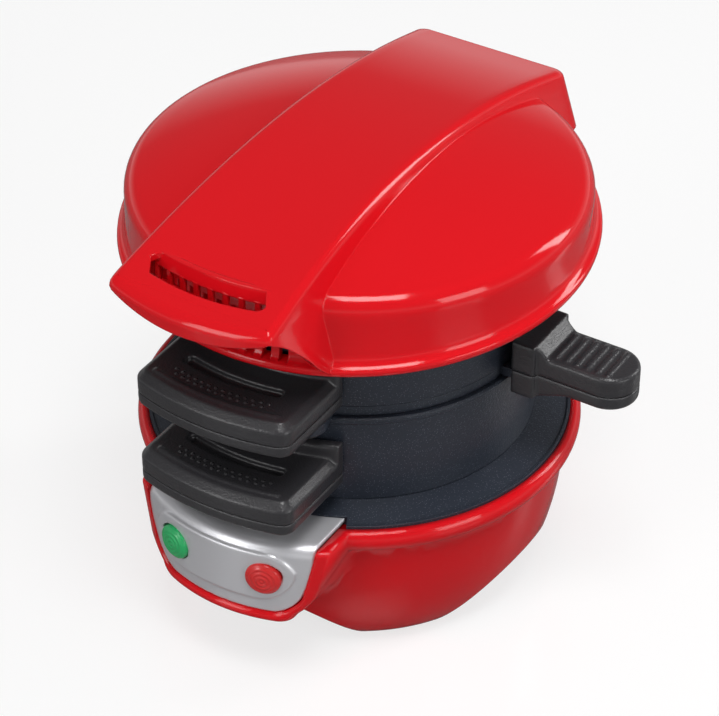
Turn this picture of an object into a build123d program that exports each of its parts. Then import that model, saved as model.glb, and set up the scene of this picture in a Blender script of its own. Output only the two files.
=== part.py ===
from build123d import *
import os
from math import asin, cos, degrees, radians, sin, sqrt

# Breakfast sandwich maker: a heated base, two hinged cooking rings with a swing-out plate between them, and a
# heated cover. Everything is drawn about the axis of the rings, with the front at -Y, and is moved at the end so that
# the origin lies under the middle of the whole appliance, on the surface it stands on. Millimetres throughout.

# ---------------------------------------------------------------- driving dimensions
# clearances
hinge_clearance = 0.05      # radial play of the pins that things turn on
moving_gap = 0.3            # between pieces of different bodies
fit_gap = 0.2               # between pieces that are assembled together
screw_play = 0.1            # radial play of a screw in its hole

# cooking rings
ring_inner_r = 55.0
ring_wall_bottom = 3.6
ring_wall_top = 4.7
ring_height = 33.0
ring_bead_height = 2.4
ring_bead_out = 0.6
plate_thickness = 3.3       # cooking plate

# base housing
foot_height = 1.0           # the rubber feet lift the legs by this
leg_r = 53.6                # where the bowl meets its flat legs
body_r = 69.2               # top of the bowl, under the lip
crease_z = 49.0
lip_root_r = 70.6
lip_r = 74.1
lip_top_r = 72.2
lip_top_z = 57.6
housing_wall = 2.5
floor_bottom_z = 21.6
floor_top_z = 24.0
arch_r = 37.0
arch_top_z = 21.2
leg_inner_r = 44.0
foot_pad_r = 4.4
foot_pad_height = 3.0
foot_pad_circle_r = 48.9

# drip tray
tray_r = 70.5
tray_edge_z = 58.6
tray_deck_r = 58.6
tray_deck_z = 60.0
tray_wall = 2.2
tray_seat_z = 55.4
tray_seat_inner_r = 62.5
notch_half_angle = 28.5
notch_r = 65.9

# bottom heating plate
hot_plate_r = 51.0
hot_plate_z = 62.0
hot_plate_dish = 0.8
hot_plate_rim = 3.0
hot_plate_underside_z = 57.2
element_tube_r = 3.2
element_loop_r = 30.0
element_opening = 50.0      # degrees left open in the loop
shield_z = 46.0
shield_r = 49.0
shield_wall = 1.2
post_circle_r = 40.0
post_r = 4.6
post_angles = (90, 210, 330)
screw_r = 1.65
screw_head_r = 3.2
screw_head_height = 2.2

# front pod and panel
pod_half_width = 34.0
pod_bottom_z = 26.9
pod_corner_r = 12.0
pod_axis_y = -23.0
pod_r = 63.0
pod_back_y = -50.0
frame_width = 3.6
frame_round = 1.6
panel_gap = 0.6
panel_wall = 2.0
panel_top_z = 58.6
panel_sink = 0.5            # panel face under the frame's face
panel_top_round = 4.5
bezel_half_length = 25.6
bezel_half_height = 9.6
bezel_z = 45.8
bezel_rise = 1.0
lens_x = 16.7
lens_r = 5.7
lens_dome = 2.0
lens_flange_r = 7.0
lens_flange = 1.2

# rear pad and hinge tower
pad_half_width = 20.0
pad_back_y = 85.5
pad_bottom_z = 27.0
pad_corner_r = 7.0
hinge_y = 78.0
hinge_z = 100.0
hinge_pin_r = 2.5
hinge_eye_r = 6.0
tower_half_width = 16.0
tower_front_y = 71.4
tower_back_y = 84.8
tower_shoulder_z = 79.0
knuckle_half_width = 7.0
knuckle_r = 7.0
arm_width = 4.0
arm_gap = 0.8
arm_root_y = (56.5, 67.0)
arm_bend_y = 63.0            # the arms stay low up to here, clear of the swinging plate
bottom_arm_low_z = 83.0
bottom_arm_high_z = 91.0
top_arm_low_z = 98.6
top_arm_high_z = 109.0
gland_z = 40.0
gland_bore_r = 3.5
gland_r = 6.5
gland_sleeve_r = 5.0
gland_out = 5.0

# ring handles
handle_half_width = 28.2
handle_front_r = 90.7
handle_root_r = 61.2
handle_corner_r = 5.0
handle_height = 12.0
handle_seam = 4.2           # height of the lower shell
handle_bevel = 2.6
collar_r = 64.4
collar_height = 5.0
grip_slot_r = (72.2, 76.2)
grip_slot_half = 17.7
grip_slot_depth = 2.0
ridge_r = (84.9, 86.1)
ridge_half = 22.5
ridge_height = 0.5
shell_wall = 2.6
tang_half_width = 17.0
tang_front_r = 84.0
tang_thickness = 4.0
bottom_handle_z = 68.6
top_handle_drop = 2.0       # the top ring's handle starts this far above the ring's lower edge
handle_screw_places = ((-11.0, -80.0), (11.0, -80.0), (0.0, -67.5))

# cooking plate and its swivel
swivel_r = 65.3             # distance of the swivel from the ring axis
swivel_angle = -72.2        # degrees from +X
swivel_pin_r = 2.5
swivel_boss_r = 4.6
swivel_head_r = 4.4
swivel_head = 2.0
ear_r = 6.2
cooking_plate_r = 58.4
plate_dish_r = 54.0
plate_dish = 0.6
plate_tang_half = 8.0
plate_tang_end_x = 74.0
grip_root_x = 62.8
grip_tip_x = 101.3
grip_root_half = 11.4
grip_half = 9.6
grip_bottom_z = 90.8
grip_bottom_rise = 3.8
grip_bottom_x = (70.0, 80.0)
grip_seam_z = 99.5
grip_top_z = 106.7
grip_collar_z = 110.5
grip_collar_x = (70.6, 74.3)
grip_rib_count = 6
grip_rib_width = 1.2
grip_rib_height = 0.8
grip_rib_x = (76.5, 94.5)
grip_root_end_x = 71.0
grip_screw_places = ((68.0, -4.5), (68.0, 4.5))
grip_screw_head_r = 2.8
grip_screw_head = 1.6

# cover
lid_tilt = 3.3              # degrees, the rim rises towards the hinge
lid_z = 126.1               # rim height over the ring axis
lid_rim_r = 77.6
lid_shoulder_r = 74.3
lid_shoulder_h = 17.9
lid_dome_r = 165.8
lid_shoulder_round = 5.0
lid_wall = 2.2
bridge_front = (-60.0, 158.5)
bridge_top = (-6.0, 163.2)
bridge_rear = (82.2, 149.3)
tail_bottom = (83.4, 124.0)
tail_front_y = 71.0
tail_front_z = 140.0
bridge_half_front = 28.3
bridge_half_middle = 25.9
bridge_half_rear = 26.7
visor_r = 99.4
visor_top_z = 149.6
visor_bottom_z = 140.5
visor_tip_top_half = 28.2
visor_tip_bottom_half = 29.6
visor_root_y = -58.0
visor_root_top_z = 158.4
visor_root_top_half = 28.2
visor_root_bottom_half = 37.0
visor_root_bottom_z = 112.0
visor_round = 1.6
vent_r = (80.9, 86.7)
vent_half = 21.0
vent_bottom_z = 146.8
vent_top_z = 151.0
vent_wall = 1.2
vent_count = 8
vent_pitch = 4.6
vent_slot_width = 3.2
liner_r = 68.4
liner_wall = 2.2
liner_h = (2.5, 13.0)
liner_flange_r = 62.0
liner_flange_h = 16.9
liner_flange_wall = 1.8
liner_hole_r = 46.0
liner_rib_count = 24
liner_rib_width = 2.2
liner_rib_depth = 1.0
top_plate_r = 53.8
top_plate_thickness = 3.6
top_plate_gap = 0.4
top_post_circle_r = 50.0
top_post_r = 3.6
top_post_angles = (30, 150, 270)
cover_boss_circle_r = 57.5
cover_boss_r = 3.4
cover_boss_angles = (20, 160, 230, 310)
top_shield_r = 53.6
bracket_top_z = 146.0
bracket_bottom_z = 128.0
bracket_wall = 2.2
bracket_y = (71.0, 79.8)
bracket_screw_x = 9.5
bracket_screw_y = 74.6

# ---------------------------------------------------------------- derived sizes
ring_bottom_z = tray_deck_z + moving_gap
ring_top_z = ring_bottom_z + ring_height
plate_z = ring_top_z + moving_gap
top_ring_z = plate_z + plate_thickness + moving_gap
top_ring_top_z = top_ring_z + ring_height
top_handle_z = top_ring_z + top_handle_drop
swivel_x = swivel_r * cos(radians(swivel_angle))
swivel_y = swivel_r * sin(radians(swivel_angle))
pin_hole_r = hinge_pin_r + hinge_clearance
screw_hole_r = screw_r + screw_play
bottom_arm_x = knuckle_half_width + arm_gap + arm_width / 2
top_arm_x = bottom_arm_x + arm_width + arm_gap
cover_lug_x = top_arm_x + arm_width + arm_gap
pin_half_length = cover_lug_x + arm_width / 2 + 0.6
lens_lean = degrees(asin(lens_x / pod_r))
bezel_r = pod_r - panel_sink + bezel_rise
lid_normal = Vector(0, -sin(radians(lid_tilt)), cos(radians(lid_tilt)))
lid_axis = Axis((0, 0, lid_z), lid_normal)
lid_plane = Plane(origin=(0, 0, lid_z), x_dir=(1, 0, 0), z_dir=lid_normal)
lid_section = Plane(origin=(0, 0, lid_z), x_dir=(1, 0, 0), z_dir=Vector(1, 0, 0).cross(lid_normal))
side_view = Plane.YZ
gland_face = Plane.XZ.offset(-pad_back_y)
tower_screw_places = ((-10.0, hinge_y), (10.0, hinge_y))
cover_screw_circle_r = leg_inner_r - screw_head_r - 0.4
front_view = Plane.XZ


def ring_points(radius, angles):
    """Places on a circle about the ring axis."""
    return [(radius * cos(radians(a)), radius * sin(radians(a))) for a in angles]


def lens_plane(side, depth):
    """Plane on a lens axis, facing out of the bezel, at a depth under the bezel's face."""
    lean = radians(lens_lean)
    radius = bezel_r - depth
    return Plane(
        origin=(side * radius * sin(lean), pod_axis_y - radius * cos(lean), bezel_z),
        x_dir=(cos(lean), side * sin(lean), 0),
        z_dir=(side * sin(lean), -cos(lean), 0),
    )


# ---------------------------------------------------------------- base housing
def front_outline(inset, bottom_z, top_z, half_width, corner_r):
    """The rounded-U outline of the front pod, seen from the front, shrunk by an inset."""
    low = bottom_z + inset
    half = half_width - inset
    with BuildSketch(front_view.offset(-pod_back_y)) as outline:
        with Locations((0, (low + top_z) / 2)):
            Rectangle(2 * half, top_z - low)
        fillet(outline.vertices().group_by(Axis.Y)[0], corner_r - inset)
    return outline.sketch


def pod_block(inset, top_z, radius):
    """The pod's volume inside a cylinder, used for the pod, its pocket and the panel."""
    with BuildPart() as block:
        extrude(front_outline(inset, pod_bottom_z, top_z, pod_half_width, pod_corner_r), amount=60)
        with Locations((0, pod_axis_y, top_z / 2)):
            Cylinder(radius, 2 * top_z, mode=Mode.INTERSECT)
    return block.part


with BuildPart() as pod:
    add(pod_block(0, lip_top_z, pod_r))
    fillet(pod.faces().sort_by(Axis.Y)[0].edges(), frame_round)

pocket_solid = pod_block(frame_width, lip_top_z + 1, pod_r + 5)
core_solid = pod_block(frame_width, panel_top_z - panel_wall - fit_gap, pod_r - panel_sink - panel_wall - fit_gap)

with BuildPart() as rear_pad:
    with BuildSketch(Plane.XY.offset(pad_bottom_z)) as pad_outline:
        with Locations((0, (pad_back_y + 50) / 2)):
            Rectangle(2 * pad_half_width, pad_back_y - 50)
        fillet(pad_outline.vertices().group_by(Axis.Y)[-1], pad_corner_r)
    extrude(amount=lip_top_z - pad_bottom_z)
    fillet(rear_pad.faces().sort_by(Axis.Z)[0].edges().group_by(Axis.Y)[-1], 3)

with BuildPart() as base_housing:
    with BuildSketch(Plane.XZ) as bowl_section:
        with BuildLine():
            floor_line = Line((0, foot_height), (leg_r, foot_height))
            bowl_line = EllipticalCenterArc((leg_r, crease_z), body_r - leg_r, crease_z - foot_height, -90, arc_size=90)
            crease = Line((body_r, crease_z), (lip_root_r, crease_z + 0.6))
            bead = ThreePointArc(crease @ 1, (lip_r, (crease_z + lip_top_z) / 2), (lip_top_r, lip_top_z))
            Polyline(bead @ 1, (0, lip_top_z), (0, foot_height))
        make_face()
    revolve(axis=Axis.Z)
    add(pod.part)
    add(rear_pad.part)
    # pocket of the front panel, open at the top
    add(pocket_solid, mode=Mode.SUBTRACT)
    add(core_solid)
    with BuildSketch(Plane.XY.offset(panel_top_z - panel_wall - fit_gap)):
        with Locations((0, -pod_r)):
            Rectangle(2 * (pod_half_width - frame_width), 70)
    extrude(amount=20, mode=Mode.SUBTRACT)
    # room above the tray seat
    with BuildSketch(Plane.XY.offset(tray_seat_z)):
        Circle(tray_r + fit_gap)
    extrude(amount=20, mode=Mode.SUBTRACT)
    # cavity above the floor
    with BuildSketch(Plane.XZ) as cavity_section:
        with BuildLine():
            wall_line = EllipticalCenterArc(
                (leg_r, crease_z), body_r - leg_r - housing_wall, crease_z - foot_height - housing_wall, -60, arc_size=60
            )
            Polyline(
                wall_line @ 1,
                (body_r - housing_wall, tray_seat_z - housing_wall),
                (tray_seat_inner_r, tray_seat_z - housing_wall),
                (tray_seat_inner_r, tray_seat_z + 1),
                (0, tray_seat_z + 1),
                (0, floor_top_z),
                ((wall_line @ 0).X, floor_top_z),
                wall_line @ 0,
            )
        make_face()
        with Locations((0, floor_top_z / 2)):
            Rectangle(200, floor_top_z, mode=Mode.SUBTRACT)
    revolve(axis=Axis.Z, mode=Mode.SUBTRACT)
    # the space between the legs
    with BuildSketch(Plane.XY):
        Circle(leg_inner_r)
    extrude(amount=floor_bottom_z, mode=Mode.SUBTRACT)
    for view in (Plane.XZ, Plane.YZ):
        with BuildSketch(view):
            with Locations((0, arch_top_z - arch_r)):
                Circle(arch_r)
        extrude(amount=100, both=True, mode=Mode.SUBTRACT)
    # the opening behind the floor plate
    with BuildSketch(Plane.XY.offset(floor_bottom_z - 1)):
        Circle(leg_inner_r - 6)
    extrude(amount=4, mode=Mode.SUBTRACT)
    # lamp room in the pod, cable room in the rear pad
    with BuildSketch(Plane.XY.offset(pod_bottom_z + 5)):
        with Locations((0, -66)):
            Rectangle(2 * (lens_x + 10), 24)
    extrude(amount=tray_seat_z - housing_wall - pod_bottom_z - 5, mode=Mode.SUBTRACT)
    with BuildSketch(Plane.XY.offset(pad_bottom_z + 3)):
        with Locations((0, 68)):
            Rectangle(2 * (pad_half_width - 4), 28)
    extrude(amount=tray_seat_z - housing_wall - pad_bottom_z - 3, mode=Mode.SUBTRACT)
    for side in (-1, 1):
        with BuildSketch(lens_plane(side, bezel_rise + panel_wall)):
            Circle(lens_flange_r + 0.4)
        extrude(amount=-14, mode=Mode.SUBTRACT)
    # holes for the cord gland, the tower's screws and the floor plate's screws
    with BuildSketch(gland_face):
        with Locations((0, gland_z)):
            Circle(gland_sleeve_r + screw_play)
    extrude(amount=6, mode=Mode.SUBTRACT)
    with BuildSketch(Plane.XY.offset(lip_top_z)):
        with Locations(*tower_screw_places):
            Circle(screw_hole_r)
    extrude(amount=-10, mode=Mode.SUBTRACT)
    with BuildSketch(Plane.XY.offset(floor_bottom_z)):
        with PolarLocations(cover_screw_circle_r, 4, 45):
            Circle(screw_hole_r)
    extrude(amount=floor_top_z - floor_bottom_z, mode=Mode.SUBTRACT)
    # seats of the rubber feet
    with BuildSketch(Plane.XY):
        with PolarLocations(foot_pad_circle_r, 4, 45):
            Circle(foot_pad_r + 0.05)
    extrude(amount=foot_pad_height, mode=Mode.SUBTRACT)
    # posts that carry the hot plate, bored for their screws
    with BuildSketch(Plane.XY.offset(floor_bottom_z)):
        with Locations(*ring_points(post_circle_r, post_angles)):
            Circle(post_r)
    extrude(amount=shield_z - floor_bottom_z)
    with BuildSketch(Plane.XY.offset(floor_bottom_z)):
        with Locations(*ring_points(post_circle_r, post_angles)):
            Circle(screw_hole_r)
    extrude(amount=shield_z - floor_bottom_z, mode=Mode.SUBTRACT)
    with BuildSketch(Plane.XY.offset(floor_bottom_z)):
        with Locations(*ring_points(post_circle_r, post_angles)):
            Circle(screw_head_r + screw_play)
    extrude(amount=screw_head_height + 0.2, mode=Mode.SUBTRACT)

# ---------------------------------------------------------------- underside
with BuildPart() as bottom_cover:
    cover_plate_r = leg_inner_r - fit_gap
    with BuildSketch(Plane.XY.offset(floor_bottom_z - 2.2)):
        Circle(cover_plate_r)
        with PolarLocations(cover_screw_circle_r, 4, 45):
            Circle(screw_hole_r, mode=Mode.SUBTRACT)
        for row in range(-2, 3):
            with Locations((0, 6 * row)):
                SlotOverall(34, 2.4, mode=Mode.SUBTRACT)
    extrude(amount=2.2)

with BuildPart() as cover_plate_screws:
    with BuildSketch(Plane.XY.offset(floor_bottom_z - 2.2 - 1.6)):
        with PolarLocations(cover_screw_circle_r, 4, 45):
            Circle(screw_head_r)
    extrude(amount=1.6)
    with BuildSketch(Plane.XY.offset(floor_bottom_z - 2.2)):
        with PolarLocations(cover_screw_circle_r, 4, 45):
            Circle(screw_r)
    extrude(amount=floor_top_z - floor_bottom_z + 2.2)

with BuildPart() as rubber_feet:
    with BuildSketch(Plane.XY):
        with PolarLocations(foot_pad_circle_r, 4, 45):
            Circle(foot_pad_r)
    extrude(amount=foot_pad_height)
    fillet(rubber_feet.faces().group_by(Axis.Z)[0].edges(), 0.4)

# ---------------------------------------------------------------- tray and bottom heater
with BuildPart() as drip_tray:
    with BuildSketch(Plane.XZ):
        with BuildLine():
            Polyline(
                (hot_plate_r + 0.5, tray_deck_z),
                (tray_deck_r, tray_deck_z),
                (tray_r - 1.4, tray_edge_z - 0.6),
                (tray_r - 0.9, tray_edge_z),
                (tray_r, tray_edge_z),
                (tray_r, tray_seat_z),
                (tray_seat_inner_r + 0.4, tray_seat_z),
                (tray_seat_inner_r - 1.2, tray_deck_z - tray_wall),
                (hot_plate_r + 0.5, tray_deck_z - tray_wall),
                close=True,
            )
        make_face()
    revolve(axis=Axis.Z)
    with BuildSketch(Plane.XY.offset(tray_seat_z - 1)) as notch:
        with BuildLine():
            Polyline(
                (0, 0),
                (90 * sin(radians(notch_half_angle)), -90 * cos(radians(notch_half_angle))),
                (-90 * sin(radians(notch_half_angle)), -90 * cos(radians(notch_half_angle))),
                close=True,
            )
        make_face()
        Circle(notch_r, mode=Mode.SUBTRACT)
    extrude(amount=10, mode=Mode.SUBTRACT)

with BuildPart() as bottom_heating_plate:
    with BuildSketch(Plane.XZ):
        with BuildLine():
            Polyline(
                (0, hot_plate_underside_z),
                (tray_deck_r - 4, hot_plate_underside_z),
                (tray_deck_r - 4, tray_deck_z - tray_wall - 0.05),
                (hot_plate_r, tray_deck_z - tray_wall - 0.05),
                (hot_plate_r, hot_plate_z),
                (hot_plate_r - hot_plate_rim, hot_plate_z),
                (hot_plate_r - hot_plate_rim - hot_plate_dish, hot_plate_z - hot_plate_dish),
                (0, hot_plate_z - hot_plate_dish),
                close=True,
            )
        make_face()
    revolve(axis=Axis.Z)
    with BuildSketch(Plane.XY.offset(shield_z + shield_wall)):
        with Locations(*ring_points(post_circle_r, post_angles)):
            Circle(post_r - 0.6)
    extrude(amount=hot_plate_underside_z - shield_z - shield_wall)
    with BuildSketch(Plane.XY.offset(shield_z + shield_wall)):
        with Locations(*ring_points(post_circle_r, post_angles)):
            Circle(screw_hole_r)
    extrude(amount=9.0, mode=Mode.SUBTRACT)

with BuildPart() as bottom_heat_shield:
    with BuildSketch(Plane.XZ):
        with BuildLine():
            Polyline(
                (0, shield_z),
                (shield_r - 2, shield_z),
                (shield_r, shield_z + 4),
                (shield_r - shield_wall, shield_z + 4),
                (shield_r - 2 - shield_wall * 0.6, shield_z + shield_wall),
                (0, shield_z + shield_wall),
                close=True,
            )
        make_face()
    revolve(axis=Axis.Z)
    with BuildSketch(Plane.XY.offset(shield_z)):
        with Locations(*ring_points(post_circle_r, post_angles)):
            Circle(screw_hole_r)
        Circle(9)
    extrude(amount=shield_wall, mode=Mode.SUBTRACT)

with BuildPart() as plate_screws:
    with BuildSketch(Plane.XY.offset(floor_bottom_z)):
        with Locations(*ring_points(post_circle_r, post_angles)):
            Circle(screw_head_r)
    extrude(amount=screw_head_height)
    with BuildSketch(Plane.XY.offset(floor_bottom_z)):
        with Locations(*ring_points(post_circle_r, post_angles)):
            Circle(screw_r)
    extrude(amount=shield_z + shield_wall + 8.0 - floor_bottom_z)


def tube_element(centre_z, plane_angle):
    """A horseshoe tube heater with two bent-down cold ends."""
    start = plane_angle + element_opening / 2
    sweep_angle = 360 - element_opening
    with BuildPart() as element:
        with BuildLine(Plane.XY.offset(centre_z)) as loop:
            CenterArc((0, 0), element_loop_r, start, arc_size=sweep_angle)
        with BuildSketch(Plane(origin=loop.line @ 0, z_dir=loop.line % 0)):
            Circle(element_tube_r)
        sweep(path=loop.line)
        for end in (0, 1):
            with BuildSketch(Plane(origin=loop.line @ end, z_dir=(loop.line % end) * (2 * end - 1))):
                Circle(element_tube_r * 0.5)
            extrude(amount=9.0)
    return element.part


with BuildPart() as bottom_element:
    add(tube_element(hot_plate_underside_z - element_tube_r - 0.05, 90))

with BuildPart() as thermostat:
    with BuildSketch(Plane.XY.offset(hot_plate_underside_z - 0.05)):
        Circle(6.5)
    extrude(amount=-4.0)
    with BuildSketch(Plane.XY.offset(hot_plate_underside_z - 4.05)):
        Circle(4.5)
    extrude(amount=-3.0)
    with BuildSketch(Plane.XY.offset(hot_plate_underside_z - 7.05)):
        with GridLocations(6, 0, 2, 1):
            Rectangle(0.8, 3.2)
    extrude(amount=-4.0)

with BuildPart() as thermal_fuse:
    with BuildSketch(Plane.YZ.offset(-8)):
        with Locations((14, hot_plate_underside_z - 2.25)):
            Circle(2.2)
    extrude(amount=16)

# ---------------------------------------------------------------- electrics in the base
with BuildPart() as terminal_block:
    with BuildSketch(Plane.XY.offset(floor_top_z)):
        with Locations((0, 51)):
            Rectangle(26, 11)
    extrude(amount=9)
    with BuildSketch(Plane.XY.offset(floor_top_z + 9)):
        with Locations((0, 51)):
            with GridLocations(8, 0, 3, 1):
                Circle(2.4)
    extrude(amount=-6, mode=Mode.SUBTRACT)

with BuildPart() as cord_gland:
    with BuildSketch(gland_face):
        with Locations((0, gland_z)):
            Circle(gland_r)
    extrude(amount=-gland_out)
    fillet(cord_gland.faces().sort_by(Axis.Y)[-1].edges(), 1.0)
    with BuildSketch(gland_face):
        with Locations((0, gland_z)):
            Circle(gland_sleeve_r)
    extrude(amount=5.5)
    with BuildSketch(gland_face.offset(6)):
        with Locations((0, gland_z)):
            Circle(gland_bore_r)
    extrude(amount=-20, mode=Mode.SUBTRACT)

with BuildPart() as lamp_board:
    with BuildSketch(Plane.XY.offset(pod_bottom_z + 5)):
        with Locations((0, -73.2)):
            Rectangle(2 * (lens_x + 8), 1.6)
    extrude(amount=20)


def lens(side):
    """A round lens with a domed front and a flange behind the panel."""
    seat = bezel_rise + panel_wall + 0.7
    with BuildPart() as solid:
        with BuildSketch(lens_plane(side, seat)):
            Circle(lens_r)
        extrude(amount=seat + lens_dome)
        fillet(solid.faces().sort_by(Axis.Y)[0].edges(), lens_dome * 0.95)
        with BuildSketch(lens_plane(side, seat)):
            Circle(lens_flange_r)
        extrude(amount=-lens_flange)
    return solid.part


with BuildPart() as preheat_lens:
    add(lens(-1))

with BuildPart() as power_lens:
    add(lens(1))

with BuildPart() as indicator_lamps:
    for side in (-1, 1):
        with BuildSketch(lens_plane(side, bezel_rise + panel_wall + lens_flange + 1.0)):
            Circle(2.6)
        extrude(amount=-4.6)

with BuildPart() as bezel:
    with BuildSketch(front_view.offset(-pod_back_y)):
        with Locations((0, bezel_z)):
            SlotOverall(2 * bezel_half_length, 2 * bezel_half_height)
    extrude(amount=60)
    with Locations((0, pod_axis_y, panel_top_z / 2)):
        Cylinder(bezel_r, 2 * panel_top_z, mode=Mode.INTERSECT)
    fillet(bezel.faces().sort_by(Axis.Y)[0].edges(), bezel_rise * 0.8)

panel_inset = frame_width + panel_gap
with BuildPart() as front_panel:
    add(pod_block(panel_inset, panel_top_z, pod_r - panel_sink))
    front_edges = front_panel.faces().sort_by(Axis.Z)[-1].edges()
    fillet(front_edges.sort_by(Axis.Y)[0], panel_top_round)
    add(bezel.part)
    with BuildSketch(Plane.XY):
        with Locations((0, pod_axis_y)):
            Circle(pod_r - panel_sink - panel_wall)
    extrude(amount=panel_top_z - panel_wall, mode=Mode.SUBTRACT)
    with BuildSketch(Plane.XY):
        Circle(notch_r + fit_gap)
    extrude(amount=100, mode=Mode.SUBTRACT)
    for side in (-1, 1):
        with BuildSketch(lens_plane(side, -1)):
            Circle(lens_r + 0.1)
        extrude(amount=-8, mode=Mode.SUBTRACT)

# ---------------------------------------------------------------- hinge tower and pin
with BuildPart() as hinge_tower:
    with BuildSketch(side_view):
        with Locations(((tower_front_y + tower_back_y) / 2, (lip_top_z + tower_shoulder_z) / 2)):
            Rectangle(tower_back_y - tower_front_y, tower_shoulder_z - lip_top_z)
    extrude(amount=tower_half_width, both=True)
    fillet(hinge_tower.faces().sort_by(Axis.Z)[-1].edges(), 2.0)
    with BuildSketch(side_view):
        with Locations((hinge_y, hinge_z)):
            Circle(knuckle_r)
        with Locations((hinge_y, tower_shoulder_z - 3)):
            Rectangle(tower_back_y - tower_front_y - 1, 4)
        make_hull()
    extrude(amount=knuckle_half_width, both=True)
    with BuildSketch(side_view):
        with Locations((hinge_y, hinge_z)):
            Circle(hinge_pin_r + 0.02)
    extrude(amount=tower_half_width, both=True, mode=Mode.SUBTRACT)
    with BuildSketch(Plane.XY.offset(lip_top_z)):
        with Locations(*tower_screw_places):
            Circle(screw_hole_r)
    extrude(amount=12, mode=Mode.SUBTRACT)

with BuildPart() as tower_screws:
    screw_top_z = lip_top_z + 11
    screw_seat_z = tray_seat_z - housing_wall
    with BuildSketch(Plane.XY.offset(screw_seat_z)):
        with Locations(*tower_screw_places):
            Circle(screw_r)
    extrude(amount=screw_top_z - screw_seat_z)
    with BuildSketch(Plane.XY.offset(screw_seat_z)):
        with Locations(*tower_screw_places):
            Circle(screw_head_r)
    extrude(amount=-screw_head_height)

with BuildPart() as hinge_pin:
    with BuildSketch(side_view):
        with Locations((hinge_y, hinge_z)):
            Circle(hinge_pin_r)
    extrude(amount=pin_half_length, both=True)
    chamfer(hinge_pin.edges().filter_by(GeomType.CIRCLE), 0.4)

with BuildPart() as pin_clips:
    for side in (-1, 1):
        with BuildSketch(side_view.offset(side * pin_half_length)):
            with Locations((hinge_y, hinge_z)):
                Circle(hinge_pin_r + 1.6)
        extrude(amount=side * 1.4)


# ---------------------------------------------------------------- cooking rings
def cooking_ring(bottom_z, tang_z, arm_x, arm_low_z, arm_high_z):
    """A cast ring with its front tang and two rear hinge arms."""
    top_z = bottom_z + ring_height
    with BuildPart() as ring:
        with BuildSketch(Plane.XZ):
            with BuildLine():
                Polyline(
                    (ring_inner_r, bottom_z),
                    (ring_inner_r + ring_wall_bottom, bottom_z),
                    (ring_inner_r + ring_wall_top, top_z - ring_bead_height),
                    (ring_inner_r + ring_wall_top + ring_bead_out, top_z - ring_bead_height + ring_bead_out),
                    (ring_inner_r + ring_wall_top + ring_bead_out, top_z - ring_bead_out),
                    (ring_inner_r + ring_wall_top, top_z),
                    (ring_inner_r, top_z),
                    close=True,
                )
            make_face()
        revolve(axis=Axis.Z)
        with BuildSketch(Plane.XY.offset(tang_z)) as tang:
            with Locations((0, -(tang_front_r + ring_inner_r) / 2)):
                Rectangle(2 * tang_half_width, tang_front_r - ring_inner_r)
            fillet(tang.vertices().group_by(Axis.Y)[0], 3)
            Circle(ring_inner_r + 1, mode=Mode.SUBTRACT)
        extrude(amount=tang_thickness)
        with BuildSketch(Plane.XY.offset(tang_z)):
            with Locations(*handle_screw_places):
                Circle(screw_hole_r)
        extrude(amount=tang_thickness, mode=Mode.SUBTRACT)
        for side in (-1, 1):
            with BuildSketch(side_view.offset(side * arm_x - arm_width / 2)):
                with Locations((hinge_y, hinge_z)):
                    Circle(hinge_eye_r)
                with Locations(((arm_bend_y + arm_root_y[1]) / 2, (arm_low_z + arm_high_z) / 2)):
                    Rectangle(arm_root_y[1] - arm_bend_y, arm_high_z - arm_low_z)
                make_hull()
                with Locations(((arm_root_y[0] + arm_root_y[1]) / 2, (arm_low_z + arm_high_z) / 2)):
                    Rectangle(arm_root_y[1] - arm_root_y[0], arm_high_z - arm_low_z)
            extrude(amount=arm_width)
        with BuildSketch(side_view):
            with Locations((hinge_y, hinge_z)):
                Circle(pin_hole_r)
        extrude(amount=40, both=True, mode=Mode.SUBTRACT)
    return ring.part


with BuildPart() as bottom_ring:
    add(
        cooking_ring(
            ring_bottom_z,
            bottom_handle_z + handle_seam + fit_gap / 2,
            bottom_arm_x,
            bottom_arm_low_z,
            bottom_arm_high_z,
        )
    )

swivel_hole_r = swivel_pin_r + hinge_clearance
with BuildPart() as top_ring:
    tang_top_z = top_handle_z + handle_seam + fit_gap / 2
    add(cooking_ring(top_ring_z, tang_top_z, top_arm_x, top_arm_low_z, top_arm_high_z))
    # boss that holds the swivel pin of the cooking plate
    with BuildSketch(Plane.XY.offset(top_ring_z)):
        with Locations((swivel_x, swivel_y)):
            Circle(swivel_boss_r)
        Circle(ring_inner_r + 1, mode=Mode.SUBTRACT)
    extrude(amount=tang_top_z + tang_thickness - top_ring_z)
    with BuildSketch(Plane.XY.offset(top_ring_z)):
        with Locations((swivel_x, swivel_y)):
            Circle(swivel_pin_r + 0.02)
    extrude(amount=tang_top_z + tang_thickness - top_ring_z - 1, mode=Mode.SUBTRACT)

with BuildPart() as swivel_pin:
    with BuildSketch(Plane.XY.offset(plate_z - moving_gap)):
        with Locations((swivel_x, swivel_y)):
            Circle(swivel_pin_r)
    extrude(amount=tang_top_z + tang_thickness - 1.1 - plate_z + moving_gap)
    with BuildSketch(Plane.XY.offset(plate_z - moving_gap)):
        with Locations((swivel_x, swivel_y)):
            Circle(swivel_head_r)
    extrude(amount=-swivel_head)
    fillet(swivel_pin.faces().sort_by(Axis.Z)[0].edges(), 0.6)


# ---------------------------------------------------------------- handles of the rings
def band(inner_r, outer_r, half_width):
    """A ring sector at the front, cut square at both sides."""
    with BuildSketch() as sector:
        Circle(outer_r)
        Circle(inner_r, mode=Mode.SUBTRACT)
        with Locations((0, -outer_r)):
            Rectangle(2 * half_width, 2 * (outer_r - inner_r * 0.8), mode=Mode.INTERSECT)
    return sector.sketch


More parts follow.
